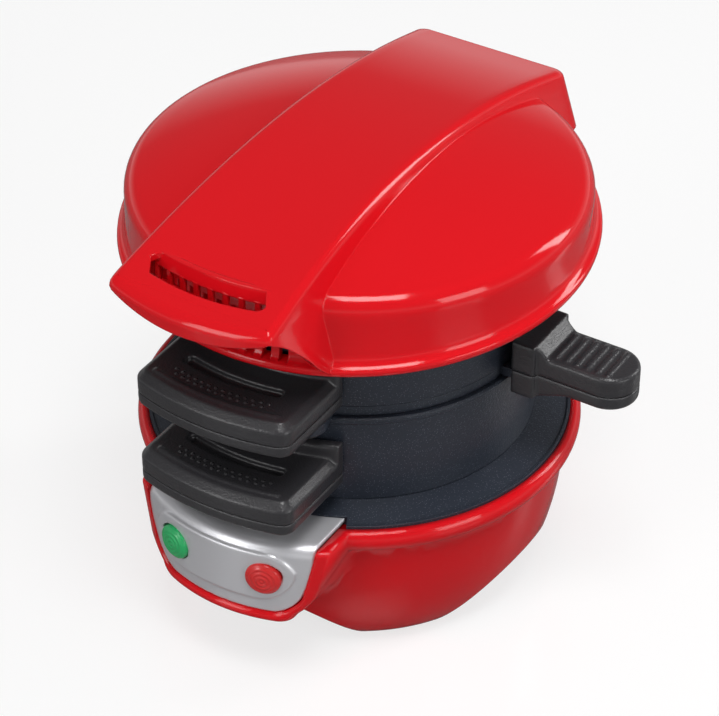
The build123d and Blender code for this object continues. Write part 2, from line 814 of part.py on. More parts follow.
def handle_outline():
    """The plan outline of a ring handle."""
    with BuildSketch() as outline:
        add(band(handle_root_r, handle_front_r, handle_half_width))
        fillet(outline.vertices().group_by(Axis.Y)[0], handle_corner_r)
    return outline.sketch


def handle_top(bottom_z, swivel):
    """Upper shell of a ring handle, with its collar, grip slot and ridge."""
    seam_z = bottom_z + handle_seam
    top_z = bottom_z + handle_height
    with BuildPart() as shell:
        with BuildSketch(Plane.XY.offset(seam_z)):
            add(handle_outline())
        extrude(amount=handle_height - handle_seam)
        rim = shell.faces().sort_by(Axis.Z)[-1].edges()
        chamfer(rim.filter_by(lambda e: (e @ 0.5).Y < -handle_root_r - 1), handle_bevel)
        with BuildSketch(Plane.XY.offset(seam_z)):
            add(band(handle_root_r, collar_r, handle_half_width))
        extrude(amount=handle_height - handle_seam + collar_height)
        collar_top = shell.faces().sort_by(Axis.Z)[-1].edges()
        fillet(collar_top.sort_by(Axis.Y)[0], 1.6)
        with BuildSketch(Plane.XY.offset(top_z - grip_slot_depth)) as slot:
            add(band(grip_slot_r[0], grip_slot_r[1], grip_slot_half))
            fillet(slot.vertices(), 1.6)
        extrude(amount=handle_height, mode=Mode.SUBTRACT)
        with BuildSketch(Plane.XY.offset(top_z - 1)):
            add(band(ridge_r[0], ridge_r[1], ridge_half))
        extrude(amount=1 + ridge_height)
        # inside, closed over the tang
        with BuildSketch(Plane.XY.offset(seam_z)):
            add(band(collar_r - 0.4, handle_front_r - shell_wall, handle_half_width - shell_wall))
            with Locations((0, -handle_root_r)):
                Rectangle(2 * (tang_half_width + fit_gap), 16)
            if swivel:
                with Locations((swivel_x, swivel_y)):
                    Circle(swivel_boss_r + fit_gap)
        extrude(amount=tang_thickness + fit_gap, mode=Mode.SUBTRACT)
        with BuildSketch(Plane.XY.offset(seam_z)):
            with Locations(*handle_screw_places):
                Circle(screw_hole_r)
        extrude(amount=tang_thickness + 2.8, mode=Mode.SUBTRACT)
    return shell.part


def handle_base(bottom_z, swivel):
    """Lower shell of a ring handle, bored for its screws."""
    with BuildPart() as shell:
        with BuildSketch(Plane.XY.offset(bottom_z)):
            add(handle_outline())
        extrude(amount=handle_seam)
        low = shell.faces().sort_by(Axis.Z)[0].edges()
        fillet(low.filter_by(lambda e: (e @ 0.5).Y < -handle_root_r - 1), 1.2)
        with BuildSketch(Plane.XY.offset(bottom_z)):
            with Locations(*handle_screw_places):
                Circle(screw_hole_r)
            if swivel:
                with Locations((swivel_x, swivel_y)):
                    Circle(swivel_boss_r + fit_gap)
        extrude(amount=handle_seam, mode=Mode.SUBTRACT)
        with BuildSketch(Plane.XY.offset(bottom_z)):
            with Locations(*handle_screw_places):
                Circle(screw_head_r + screw_play)
        extrude(amount=screw_head_height, mode=Mode.SUBTRACT)
    return shell.part


def handle_screws(bottom_z):
    """The three screws that clamp the shells on the tang."""
    with BuildPart() as screws:
        with BuildSketch(Plane.XY.offset(bottom_z + 0.2)):
            with Locations(*handle_screw_places):
                Circle(screw_head_r)
        extrude(amount=screw_head_height - 0.2)
        with BuildSketch(Plane.XY.offset(bottom_z + 0.2)):
            with Locations(*handle_screw_places):
                Circle(screw_r)
        extrude(amount=handle_seam + tang_thickness + 2.4)
    return screws.part


with BuildPart() as bottom_handle_top:
    add(handle_top(bottom_handle_z, False))

with BuildPart() as bottom_handle_base:
    add(handle_base(bottom_handle_z, False))

with BuildPart() as bottom_handle_screws:
    add(handle_screws(bottom_handle_z))

with BuildPart() as top_handle_top:
    add(handle_top(top_handle_z, True))

with BuildPart() as top_handle_base:
    add(handle_base(top_handle_z, True))

with BuildPart() as top_handle_screws:
    add(handle_screws(top_handle_z))


# ---------------------------------------------------------------- cooking plate and its grip
with BuildPart() as cooking_plate:
    with BuildSketch(Plane.XY.offset(plate_z)):
        Circle(cooking_plate_r)
        with Locations((plate_tang_end_x / 2, 0)):
            Rectangle(plate_tang_end_x, 2 * plate_tang_half)
    extrude(amount=plate_thickness)
    with BuildSketch(Plane.XY.offset(plate_z)):
        with Locations((swivel_x, swivel_y), (0.75 * swivel_x, 0.75 * swivel_y)):
            Circle(ear_r)
        make_hull()
    extrude(amount=plate_thickness)
    with BuildSketch(Plane.XY.offset(plate_z + plate_thickness - plate_dish)):
        Circle(plate_dish_r)
    extrude(amount=plate_dish, mode=Mode.SUBTRACT)
    with BuildSketch(Plane.XY.offset(plate_z)):
        with Locations((swivel_x, swivel_y)):
            Circle(swivel_pin_r + hinge_clearance)
        with Locations(*grip_screw_places):
            Circle(screw_hole_r)
    extrude(amount=plate_thickness, mode=Mode.SUBTRACT)


def grip_shell(profile):
    """One half of the plate's grip: its plan cut by a side profile."""
    with BuildPart() as shell:
        with BuildSketch(Plane.XY.offset(grip_bottom_z - 1)):
            with Locations(((grip_root_x + grip_tip_x - grip_half) / 2, 0)):
                Rectangle(grip_tip_x - grip_half - grip_root_x, 2 * grip_half)
            with Locations((grip_tip_x - grip_half, 0)):
                Circle(grip_half)
            with Locations(((grip_root_x + grip_root_end_x) / 2, 0)):
                Rectangle(grip_root_end_x - grip_root_x, 2 * grip_root_half)
        extrude(amount=grip_collar_z - grip_bottom_z + 2)
        with BuildSketch(Plane.XZ):
            with BuildLine():
                Polyline(*profile, close=True)
            make_face()
        extrude(amount=20, both=True, mode=Mode.INTERSECT)
    return shell.part


with BuildPart() as plate_handle_base:
    add(
        grip_shell(
            (
                (grip_root_x, grip_bottom_z),
                (grip_bottom_x[0], grip_bottom_z),
                (grip_bottom_x[1], grip_bottom_z + grip_bottom_rise),
                (grip_tip_x, grip_bottom_z + grip_bottom_rise),
                (grip_tip_x, grip_seam_z),
                (grip_root_x, grip_seam_z),
            )
        )
    )
    tip_low = plate_handle_base.edges().filter_by(GeomType.CIRCLE).sort_by(Axis.Z)[0]
    fillet(tip_low, 1.5)
    with BuildSketch(Plane.XY.offset(plate_z - fit_gap)):
        with Locations(((grip_root_x + plate_tang_end_x + moving_gap) / 2, 0)):
            Rectangle(plate_tang_end_x + moving_gap - grip_root_x, 2 * (plate_tang_half + moving_gap))
    extrude(amount=20, mode=Mode.SUBTRACT)
    with BuildSketch(Plane.XY.offset(grip_bottom_z)):
        with Locations(*grip_screw_places):
            Circle(screw_hole_r)
    extrude(amount=5, mode=Mode.SUBTRACT)
    with BuildSketch(Plane.XY.offset(grip_bottom_z)):
        with Locations(*grip_screw_places):
            Circle(grip_screw_head_r + screw_play)
    extrude(amount=grip_screw_head, mode=Mode.SUBTRACT)

with BuildPart() as plate_handle_top:
    add(
        grip_shell(
            (
                (grip_root_x, grip_seam_z),
                (grip_tip_x, grip_seam_z),
                (grip_tip_x, grip_top_z),
                (grip_collar_x[1], grip_top_z),
                (grip_collar_x[0], grip_collar_z),
                (grip_root_x, grip_collar_z),
            )
        )
    )
    tip_high = plate_handle_top.edges().filter_by(GeomType.CIRCLE).sort_by(Axis.Z)[-1]
    fillet(tip_high, 1.5)
    rib_step = (grip_rib_x[1] - grip_rib_x[0]) / (grip_rib_count - 1)
    with BuildSketch(Plane.XY.offset(grip_top_z - 0.5)):
        for index in range(grip_rib_count):
            with Locations((grip_rib_x[0] + index * rib_step, 0)):
                Rectangle(grip_rib_width, 2 * (grip_half - 2.4))
    extrude(amount=0.5 + grip_rib_height)
    # rib that presses the plate's tang down
    press_x = (grip_root_x + 1.2, plate_tang_end_x - 1)
    with BuildSketch(Plane.XY.offset(plate_z + plate_thickness)):
        with Locations(((press_x[0] + press_x[1]) / 2, 0)):
            Rectangle(press_x[1] - press_x[0], 14)
    extrude(amount=grip_seam_z - plate_z - plate_thickness)
    with BuildSketch(Plane.XY.offset(plate_z + plate_thickness)):
        with Locations(*grip_screw_places):
            Circle(screw_hole_r)
    extrude(amount=7.4, mode=Mode.SUBTRACT)

with BuildPart() as plate_handle_screws:
    with BuildSketch(Plane.XY.offset(grip_bottom_z + 0.2)):
        with Locations(*grip_screw_places):
            Circle(grip_screw_head_r)
    extrude(amount=grip_screw_head - 0.2)
    with BuildSketch(Plane.XY.offset(grip_bottom_z + 0.2)):
        with Locations(*grip_screw_places):
            Circle(screw_r)
    extrude(amount=plate_z + plate_thickness + 7 - grip_bottom_z - 0.2)

# ---------------------------------------------------------------- cover
dome_centre_h = lid_shoulder_h - sqrt(lid_dome_r**2 - lid_shoulder_r**2)
liner_flange_top_h = liner_flange_h + liner_flange_wall
shield_top_h = liner_flange_top_h + shield_wall


def lid_body(inset):
    """Solid of the skirt and dome, shrunk by an inset and carried below the rim by it."""
    shoulder_r = lid_shoulder_r - inset
    dome_r = lid_dome_r - inset
    sweep = degrees(asin(shoulder_r / dome_r))
    with BuildPart() as body:
        with BuildSketch(lid_section) as section:
            with BuildLine():
                dome = CenterArc((0, dome_centre_h), dome_r, 90 - sweep, sweep)
                Polyline(dome @ 1, (0, -inset), (lid_rim_r - inset, -inset), dome @ 0)
            make_face()
            fillet(section.vertices().sort_by(Axis.X)[-2], lid_shoulder_round - inset)
        revolve(axis=lid_axis)
    return body.part


def bridge_block(inset):
    """Solid of the raised bridge that runs over the dome and down at the rear."""
    with BuildPart() as block:
        with BuildSketch(side_view):
            with BuildLine():
                crown = ThreePointArc(
                    (bridge_front[0], bridge_front[1] - inset),
                    (bridge_top[0], bridge_top[1] - inset),
                    (bridge_rear[0] - inset, bridge_rear[1] - inset),
                )
                Polyline(
                    crown @ 1,
                    (tail_bottom[0] - inset, tail_bottom[1] - inset),
                    (tail_front_y - inset, tail_bottom[1] - inset),
                    (tail_front_y - inset, tail_front_z),
                    (bridge_front[0], tail_front_z),
                    crown @ 0,
                )
            make_face()
        extrude(amount=60, both=True)
        with BuildSketch(Plane.XY.offset(tail_bottom[1] - 10)):
            with BuildLine():
                right = ThreePointArc(
                    (bridge_half_front - inset, bridge_front[0]),
                    (bridge_half_middle - inset, 10),
                    (bridge_half_rear - inset, tail_bottom[0]),
                )
                left = mirror(right, about=Plane.YZ)
                Line(right @ 0, left @ 0)
                Line(right @ 1, left @ 1)
            make_face()
        extrude(amount=60, mode=Mode.INTERSECT)
    return block.part


def visor_block(inset, drop):
    """Solid of the front visor, shrunk by an inset, its underside lowered by a drop."""
    with BuildPart() as block:
        with BuildSketch(front_view.offset(-visor_root_y)):
            with BuildLine():
                Polyline(
                    (-visor_root_top_half + inset, visor_root_top_z - inset),
                    (visor_root_top_half - inset, visor_root_top_z - inset),
                    (visor_root_bottom_half - inset, visor_root_bottom_z - drop),
                    (-visor_root_bottom_half + inset, visor_root_bottom_z - drop),
                    close=True,
                )
            make_face()
        with BuildSketch(front_view.offset(visor_r + 0.1)):
            with BuildLine():
                Polyline(
                    (-visor_tip_top_half + inset, visor_top_z - inset),
                    (visor_tip_top_half - inset, visor_top_z - inset),
                    (visor_tip_bottom_half - inset, visor_bottom_z - drop),
                    (-visor_tip_bottom_half + inset, visor_bottom_z - drop),
                    close=True,
                )
            make_face()
        loft(ruled=True)
        with Locations((0, 0, visor_top_z)):
            Cylinder(visor_r - inset, 200, mode=Mode.INTERSECT)
    return block.part


with BuildPart() as visor:
    add(visor_block(0, 0))
    fillet(visor.faces().sort_by(Axis.Y)[0].edges(), visor_round)

with BuildPart() as cover_shell:
    add(lid_body(0))
    add(bridge_block(0))
    add(visor.part)
    # in front of the tail nothing hangs below the rim
    with BuildSketch(lid_plane):
        with Locations((0, -30)):
            Rectangle(220, 200)
    extrude(amount=-40, mode=Mode.SUBTRACT)
    add(lid_body(lid_wall), mode=Mode.SUBTRACT)
    add(bridge_block(lid_wall), mode=Mode.SUBTRACT)
    add(visor_block(lid_wall, 12), mode=Mode.SUBTRACT)
    with BuildSketch(Plane.XY.offset(visor_bottom_z)):
        add(band(vent_r[0], vent_r[1], vent_half))
    extrude(amount=30, mode=Mode.SUBTRACT)
    # bosses for the liner and for the hinge bracket
    with BuildSketch(lid_plane.offset(liner_flange_top_h)):
        with Locations(*ring_points(cover_boss_circle_r, cover_boss_angles)):
            Circle(cover_boss_r)
    extrude(amount=5.4)
    with BuildSketch(lid_plane.offset(liner_flange_top_h)):
        with Locations(*ring_points(cover_boss_circle_r, cover_boss_angles)):
            Circle(screw_hole_r)
    extrude(amount=5.0, mode=Mode.SUBTRACT)
    with BuildSketch(Plane.XY.offset(bracket_top_z)):
        with Locations((-bracket_screw_x, bracket_screw_y), (bracket_screw_x, bracket_screw_y)):
            Circle(cover_boss_r)
    extrude(amount=3.8)
    with BuildSketch(Plane.XY.offset(bracket_top_z)):
        with Locations((-bracket_screw_x, bracket_screw_y), (bracket_screw_x, bracket_screw_y)):
            Circle(screw_hole_r)
    extrude(amount=3.4, mode=Mode.SUBTRACT)

with BuildPart() as vent_grille:
    with BuildSketch(Plane.XY.offset(vent_bottom_z)):
        add(band(vent_r[0] + 0.1, vent_r[1] - 0.1, vent_half - 0.1))
    extrude(amount=vent_top_z - vent_bottom_z)
    with BuildSketch(Plane.XY.offset(vent_bottom_z + vent_wall)):
        add(band(vent_r[0] + vent_wall, vent_r[1] - vent_wall, vent_half - vent_wall))
    extrude(amount=10, mode=Mode.SUBTRACT)
    with BuildSketch(Plane.XY.offset(vent_bottom_z)):
        add(band(vent_r[0] + vent_wall, vent_r[1] - vent_wall, vent_half - vent_wall))
        with Locations((0, -vent_r[1])):
            with GridLocations(vent_pitch, 0, vent_count, 1):
                Rectangle(vent_slot_width, 40, mode=Mode.SUBTRACT)
        with Locations((0, -vent_r[0])):
            with GridLocations(2 * vent_half, 0, 2, 1):
                Rectangle(2 * vent_pitch, 40, mode=Mode.SUBTRACT)
    extrude(amount=vent_wall, mode=Mode.SUBTRACT)

with BuildPart() as cover_liner:
    with BuildSketch(lid_section):
        with BuildLine():
            Polyline(
                (liner_r, liner_h[0]),
                (liner_r, liner_h[1]),
                (liner_flange_r, liner_flange_top_h),
                (liner_hole_r, liner_flange_top_h),
                (liner_hole_r, liner_flange_h),
                (liner_flange_r - 0.8, liner_flange_h),
                (liner_r - liner_wall, liner_h[1] - 0.9),
                (liner_r - liner_wall, liner_h[0]),
                close=True,
            )
        make_face()
    revolve(axis=lid_axis)
    with BuildSketch(lid_plane.offset(liner_h[0] + 1)):
        with PolarLocations(liner_r, liner_rib_count):
            Rectangle(2 * liner_rib_depth, liner_rib_width)
    extrude(amount=liner_h[1] - liner_h[0] - 2)
    with BuildSketch(lid_plane.offset(liner_flange_h)):
        with Locations(*ring_points(cover_boss_circle_r, cover_boss_angles)):
            Circle(screw_hole_r)
        with Locations(*ring_points(top_post_circle_r, top_post_angles)):
            Circle(screw_hole_r)
    extrude(amount=liner_flange_wall, mode=Mode.SUBTRACT)

with BuildPart() as cover_screws:
    with BuildSketch(lid_plane.offset(liner_flange_h)):
        with Locations(*ring_points(cover_boss_circle_r, cover_boss_angles)):
            Circle(screw_head_r)
    extrude(amount=-screw_head_height)
    with BuildSketch(lid_plane.offset(liner_flange_h)):
        with Locations(*ring_points(cover_boss_circle_r, cover_boss_angles)):
            Circle(screw_r)
    extrude(amount=liner_flange_wall + 4.6)

with BuildPart() as top_heat_shield:
    with BuildSketch(lid_plane.offset(liner_flange_top_h)):
        Circle(top_shield_r)
        with Locations(*ring_points(top_post_circle_r, top_post_angles)):
            Circle(screw_hole_r, mode=Mode.SUBTRACT)
    extrude(amount=shield_wall)

top_plate_z = top_ring_top_z + top_plate_gap
with BuildPart() as top_posts:
    with BuildSketch(lid_plane.offset(liner_flange_h)):
        with Locations(*ring_points(top_post_circle_r, top_post_angles)):
            Circle(top_post_r)
    extrude(amount=-16)
    split(bisect_by=Plane.XY.offset(top_plate_z + 1), keep=Keep.TOP)

with BuildPart() as top_heating_plate:
    with BuildSketch(Plane.XY.offset(top_plate_z)):
        Circle(top_plate_r)
    extrude(amount=top_plate_thickness)
    fillet(top_heating_plate.faces().sort_by(Axis.Z)[0].edges(), 1.0)
    add(top_posts.part)
    with BuildSketch(lid_plane.offset(liner_flange_h)):
        with Locations(*ring_points(top_post_circle_r, top_post_angles)):
            Circle(screw_hole_r)
    extrude(amount=-7, mode=Mode.SUBTRACT)

with BuildPart() as top_element:
    add(tube_element(top_plate_z + top_plate_thickness + element_tube_r, 90))

with BuildPart() as top_plate_screws:
    with BuildSketch(lid_plane.offset(shield_top_h)):
        with Locations(*ring_points(top_post_circle_r, top_post_angles)):
            Circle(screw_head_r)
    extrude(amount=screw_head_height)
    with BuildSketch(lid_plane.offset(shield_top_h)):
        with Locations(*ring_points(top_post_circle_r, top_post_angles)):
            Circle(screw_r)
    extrude(amount=-(shield_top_h - liner_flange_h + 6.5))

with BuildPart() as top_thermostat:
    with BuildSketch(Plane.XY.offset(top_plate_z + top_plate_thickness)):
        Circle(6.5)
    extrude(amount=3)
    with BuildSketch(Plane.XY.offset(top_plate_z + top_plate_thickness)):
        Circle(5)
    extrude(amount=8)

lug_rear_y = bracket_y[1] - bracket_wall - 0.6
with BuildPart() as cover_hinge_bracket:
    for side in (-1, 1):
        with BuildSketch(side_view.offset(side * cover_lug_x - arm_width / 2)):
            with Locations((hinge_y, hinge_z)):
                Circle(hinge_eye_r)
            with Locations(((bracket_y[0] + lug_rear_y) / 2, (bracket_bottom_z + bracket_top_z) / 2)):
                Rectangle(lug_rear_y - bracket_y[0], bracket_top_z - bracket_bottom_z)
            make_hull()
        extrude(amount=arm_width)
    with BuildSketch(side_view):
        with BuildLine():
            Polyline(
                (bracket_y[0], bracket_top_z),
                (bracket_y[1], bracket_top_z),
                (bracket_y[1], bracket_bottom_z),
                (bracket_y[1] - bracket_wall, bracket_bottom_z),
                (bracket_y[1] - bracket_wall, bracket_top_z - bracket_wall),
                (bracket_y[0], bracket_top_z - bracket_wall),
                close=True,
            )
        make_face()
    extrude(amount=cover_lug_x, both=True)
    with BuildSketch(side_view):
        with Locations((hinge_y, hinge_z)):
            Circle(pin_hole_r)
    extrude(amount=40, both=True, mode=Mode.SUBTRACT)
    with BuildSketch(Plane.XY.offset(bracket_top_z)):
        with Locations((-bracket_screw_x, bracket_screw_y), (bracket_screw_x, bracket_screw_y)):
            Circle(screw_hole_r)
    extrude(amount=-bracket_wall, mode=Mode.SUBTRACT)

with BuildPart() as bracket_screws:
    with BuildSketch(Plane.XY.offset(bracket_top_z - bracket_wall)):
        with Locations((-bracket_screw_x, bracket_screw_y), (bracket_screw_x, bracket_screw_y)):
            Circle(screw_r)
    extrude(amount=bracket_wall + 3.2)
    with BuildSketch(Plane.XY.offset(bracket_top_z - bracket_wall)):
        with Locations((-bracket_screw_x, bracket_screw_y), (bracket_screw_x, bracket_screw_y)):
            Circle(screw_head_r - 0.4)
    extrude(amount=-screw_head_height)

# ---------------------------------------------------------------- placing and export
pieces = {
    "base_housing": base_housing.part,
    "bottom_cover": bottom_cover.part,
    "cover_plate_screws": cover_plate_screws.part,
    "rubber_feet": rubber_feet.part,
    "drip_tray": drip_tray.part,
    "bottom_heating_plate": bottom_heating_plate.part,
    "bottom_heat_shield": bottom_heat_shield.part,
    "plate_screws": plate_screws.part,
    "bottom_element": bottom_element.part,
    "thermostat": thermostat.part,
    "thermal_fuse": thermal_fuse.part,
    "terminal_block": terminal_block.part,
    "cord_gland": cord_gland.part,
    "lamp_board": lamp_board.part,
    "indicator_lamps": indicator_lamps.part,
    "preheat_lens": preheat_lens.part,
    "power_lens": power_lens.part,
    "front_panel": front_panel.part,
    "hinge_tower": hinge_tower.part,
    "tower_screws": tower_screws.part,
    "hinge_pin": hinge_pin.part,
    "pin_clips": pin_clips.part,
    "bottom_ring": bottom_ring.part,
    "bottom_handle_top": bottom_handle_top.part,
    "bottom_handle_base": bottom_handle_base.part,
    "bottom_handle_screws": bottom_handle_screws.part,
    "top_ring": top_ring.part,
    "top_handle_top": top_handle_top.part,
    "top_handle_base": top_handle_base.part,
    "top_handle_screws": top_handle_screws.part,
    "swivel_pin": swivel_pin.part,
    "cooking_plate": cooking_plate.part,
    "plate_handle_top": plate_handle_top.part,
    "plate_handle_base": plate_handle_base.part,
    "plate_handle_screws": plate_handle_screws.part,
    "cover_shell": cover_shell.part,
    "vent_grille": vent_grille.part,
    "cover_liner": cover_liner.part,
    "cover_screws": cover_screws.part,
    "top_heat_shield": top_heat_shield.part,
    "top_heating_plate": top_heating_plate.part,
    "top_plate_screws": top_plate_screws.part,
    "top_element": top_element.part,
    "top_thermostat": top_thermostat.part,
    "cover_hinge_bracket": cover_hinge_bracket.part,
    "bracket_screws": bracket_screws.part,
}
boxes = [piece.bounding_box() for piece in pieces.values()]
middle_x = (min(box.min.X for box in boxes) + max(box.max.X for box in boxes)) / 2
middle_y = (min(box.min.Y for box in boxes) + max(box.max.Y for box in boxes)) / 2
to_origin = Location((-middle_x, -middle_y, 0))
os.makedirs("parts", exist_ok=True)
for name, piece in pieces.items():
    placed = piece.moved(to_origin)
    placed.label = name
    export_step(placed, f"parts/{name}.step")
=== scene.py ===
"""Looks of the breakfast sandwich maker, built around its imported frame."""

import logging
import math
from collections.abc import Callable
from dataclasses import dataclass, replace
from enum import Enum

import bmesh
import bpy
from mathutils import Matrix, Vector


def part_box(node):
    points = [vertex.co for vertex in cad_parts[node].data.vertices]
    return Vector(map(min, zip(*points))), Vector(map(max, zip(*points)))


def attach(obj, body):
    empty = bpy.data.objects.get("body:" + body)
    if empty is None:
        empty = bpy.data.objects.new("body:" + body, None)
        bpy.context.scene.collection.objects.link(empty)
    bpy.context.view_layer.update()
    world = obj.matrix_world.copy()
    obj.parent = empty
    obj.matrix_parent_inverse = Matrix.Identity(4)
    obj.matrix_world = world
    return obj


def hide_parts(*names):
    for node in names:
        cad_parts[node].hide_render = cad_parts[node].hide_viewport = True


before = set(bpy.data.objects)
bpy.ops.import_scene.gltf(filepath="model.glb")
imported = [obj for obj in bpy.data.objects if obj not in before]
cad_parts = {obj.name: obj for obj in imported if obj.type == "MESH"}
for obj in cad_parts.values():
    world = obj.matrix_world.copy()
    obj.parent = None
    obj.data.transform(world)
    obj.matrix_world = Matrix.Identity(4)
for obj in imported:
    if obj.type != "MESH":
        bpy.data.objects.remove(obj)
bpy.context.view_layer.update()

logging.basicConfig(level=logging.INFO, format="%(message)s")
log = logging.getLogger("sandwich_maker")

Point = tuple[float, float, float]
Flat = tuple[float, float]
Colour = tuple[float, float, float]
Feed = float | str | tuple[float, ...] | bpy.types.NodeSocket
MM = 0.001

# how finishes and small details are made, and how copies of the solids are welded and rounded, in millimetres
COAT_ROUGHNESS = 0.04
BUMP_DEPTH = 0.4
EDGE_SAMPLES = 6
WELD = 0.001
EASE_FACTOR = 0.5
KEPT_SHARE = 0.45
FINE_DETAIL, SLOW_DETAIL, SLOW_SCALE = 3.0, 4.0, 35.0
FLECK_RIM, FLECK_CORE = 0.25, 0.05
PIP_SEGMENTS, PIP_RINGS, DETAIL_CREASE = 12, 8, 40.0
WHITE_LIGHT = (1.0, 1.0, 1.0, 1.0)
BOTTOM_HANDLE_TOP_Z, TOP_HANDLE_TOP_Z = 80.6, 111.2

# the vertical axis of the cooking rings, which every size below is measured from, in millimetres
_plate_low, _plate_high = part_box("bottom_heating_plate")
AXIS = Vector(((_plate_low.x + _plate_high.x) / 2, (_plate_low.y + _plate_high.y) / 2, 0.0))


def place(point: Point) -> Vector:
    """Turn millimetres from the ring axis into the frame's metres."""
    return AXIS + Vector(point) * MM


def around(radius: float, turn: float, z: float) -> Point:
    """Place a point by its distance from the ring axis, its turn from the front and its height."""
    return (radius * math.sin(turn), -radius * math.cos(turn), z)


def feed(tree: bpy.types.NodeTree, node: bpy.types.Node, inputs: dict[str | int, Feed]) -> bpy.types.Node:
    """Set or link the inputs of a node.

    Args:
        tree: The tree that holds the node.
        node: The node.
        inputs: A constant or a socket for each input, by the input's name or number.

    Returns:
        The node.
    """
    for label, value in inputs.items():
        if isinstance(value, bpy.types.NodeSocket):
            tree.links.new(value, node.inputs[label])
        else:
            node.inputs[label].default_value = value
    return node


def add_node(
    tree: bpy.types.NodeTree, kind: str, inputs: dict[str | int, Feed], **options: object
) -> bpy.types.Node:
    """Add a node to a tree.

    Args:
        tree: The tree.
        kind: Type of the node.
        inputs: A constant or a socket for each input, by the input's name or number.
        options: Settings of the node.

    Returns:
        The node.
    """
    node = tree.nodes.new(kind)
    for option, value in options.items():
        setattr(node, option, value)
    return feed(tree, node, inputs)


# ------------------------------------------------------------------ shared shader groups
class Groups:
    """Shader node groups that several finishes share."""

    @staticmethod
    def _new(name: str, inputs: dict[str, float], outputs: list[str]) -> bpy.types.NodeTree:
        """Make an empty group with float inputs and outputs.

        Args:
            name: Name of the group.
            inputs: Input names and their default values.
            outputs: Names of the float outputs.

        Returns:
            The node tree, with a "Group Input" and a "Group Output" node.
        """
        tree = bpy.data.node_groups.new(name, "ShaderNodeTree")
        for label, value in inputs.items():
            socket = tree.interface.new_socket(label, in_out="INPUT", socket_type="NodeSocketFloat")
            socket.default_value = value
        for label in outputs:
            tree.interface.new_socket(label, in_out="OUTPUT", socket_type="NodeSocketFloat")
        tree.nodes.new("NodeGroupInput")
        tree.nodes.new("NodeGroupOutput")
        return tree

    @classmethod
    def grain(cls) -> bpy.types.NodeTree:
        """Fine moulded grain with slow, faint unevenness in the gloss.

        Returns:
            The group, made once.
        """
        name = "moulded_grain"
        if name in bpy.data.node_groups:
            return bpy.data.node_groups[name]
        tree = cls._new(name, {"Grain": 900.0, "Roughness": 0.3, "Spread": 0.05}, ["Roughness", "Height"])
        given = tree.nodes["Group Input"].outputs
        where = add_node(tree, "ShaderNodeTexCoord", {}).outputs["Object"]
        close = {"Vector": where, "Scale": given["Grain"], "Detail": FINE_DETAIL}
        fine = add_node(tree, "ShaderNodeTexNoise", close)
        wide = {"Vector": where, "Scale": SLOW_SCALE, "Detail": SLOW_DETAIL}
        slow = add_node(tree, "ShaderNodeTexNoise", wide)
        centred = add_node(tree, "ShaderNodeMath", {0: slow.outputs["Fac"], 1: 0.5}, operation="SUBTRACT")
        terms = {0: centred.outputs[0], 1: given["Spread"], 2: given["Roughness"]}
        gloss = add_node(tree, "ShaderNodeMath", terms, operation="MULTIPLY_ADD")
        feed(tree, tree.nodes["Group Output"], {"Roughness": gloss.outputs[0], "Height": fine.outputs["Fac"]})
        return tree

    @classmethod
    def fleck(cls) -> bpy.types.NodeTree:
        """Mineral flecks of a sprayed non-stick coating.

        Returns:
            The group, made once.
        """
        name = "coating_fleck"
        if name in bpy.data.node_groups:
            return bpy.data.node_groups[name]
        tree = cls._new(name, {"Scale": 1500.0, "Amount": 0.3}, ["Fleck"])
        given = tree.nodes["Group Input"].outputs
        where = add_node(tree, "ShaderNodeTexCoord", {}).outputs["Object"]
        cells = add_node(tree, "ShaderNodeTexVoronoi", {"Vector": where, "Scale": given["Scale"]})
        limits = {"Value": cells.outputs["Distance"], "From Min": FLECK_RIM, "From Max": FLECK_CORE}
        factors = {0: add_node(tree, "ShaderNodeMapRange", limits).outputs[0], 1: given["Amount"]}
        sparse = add_node(tree, "ShaderNodeMath", factors, operation="MULTIPLY")
        feed(tree, tree.nodes["Group Output"], {"Fleck": sparse.outputs[0]})
        return tree


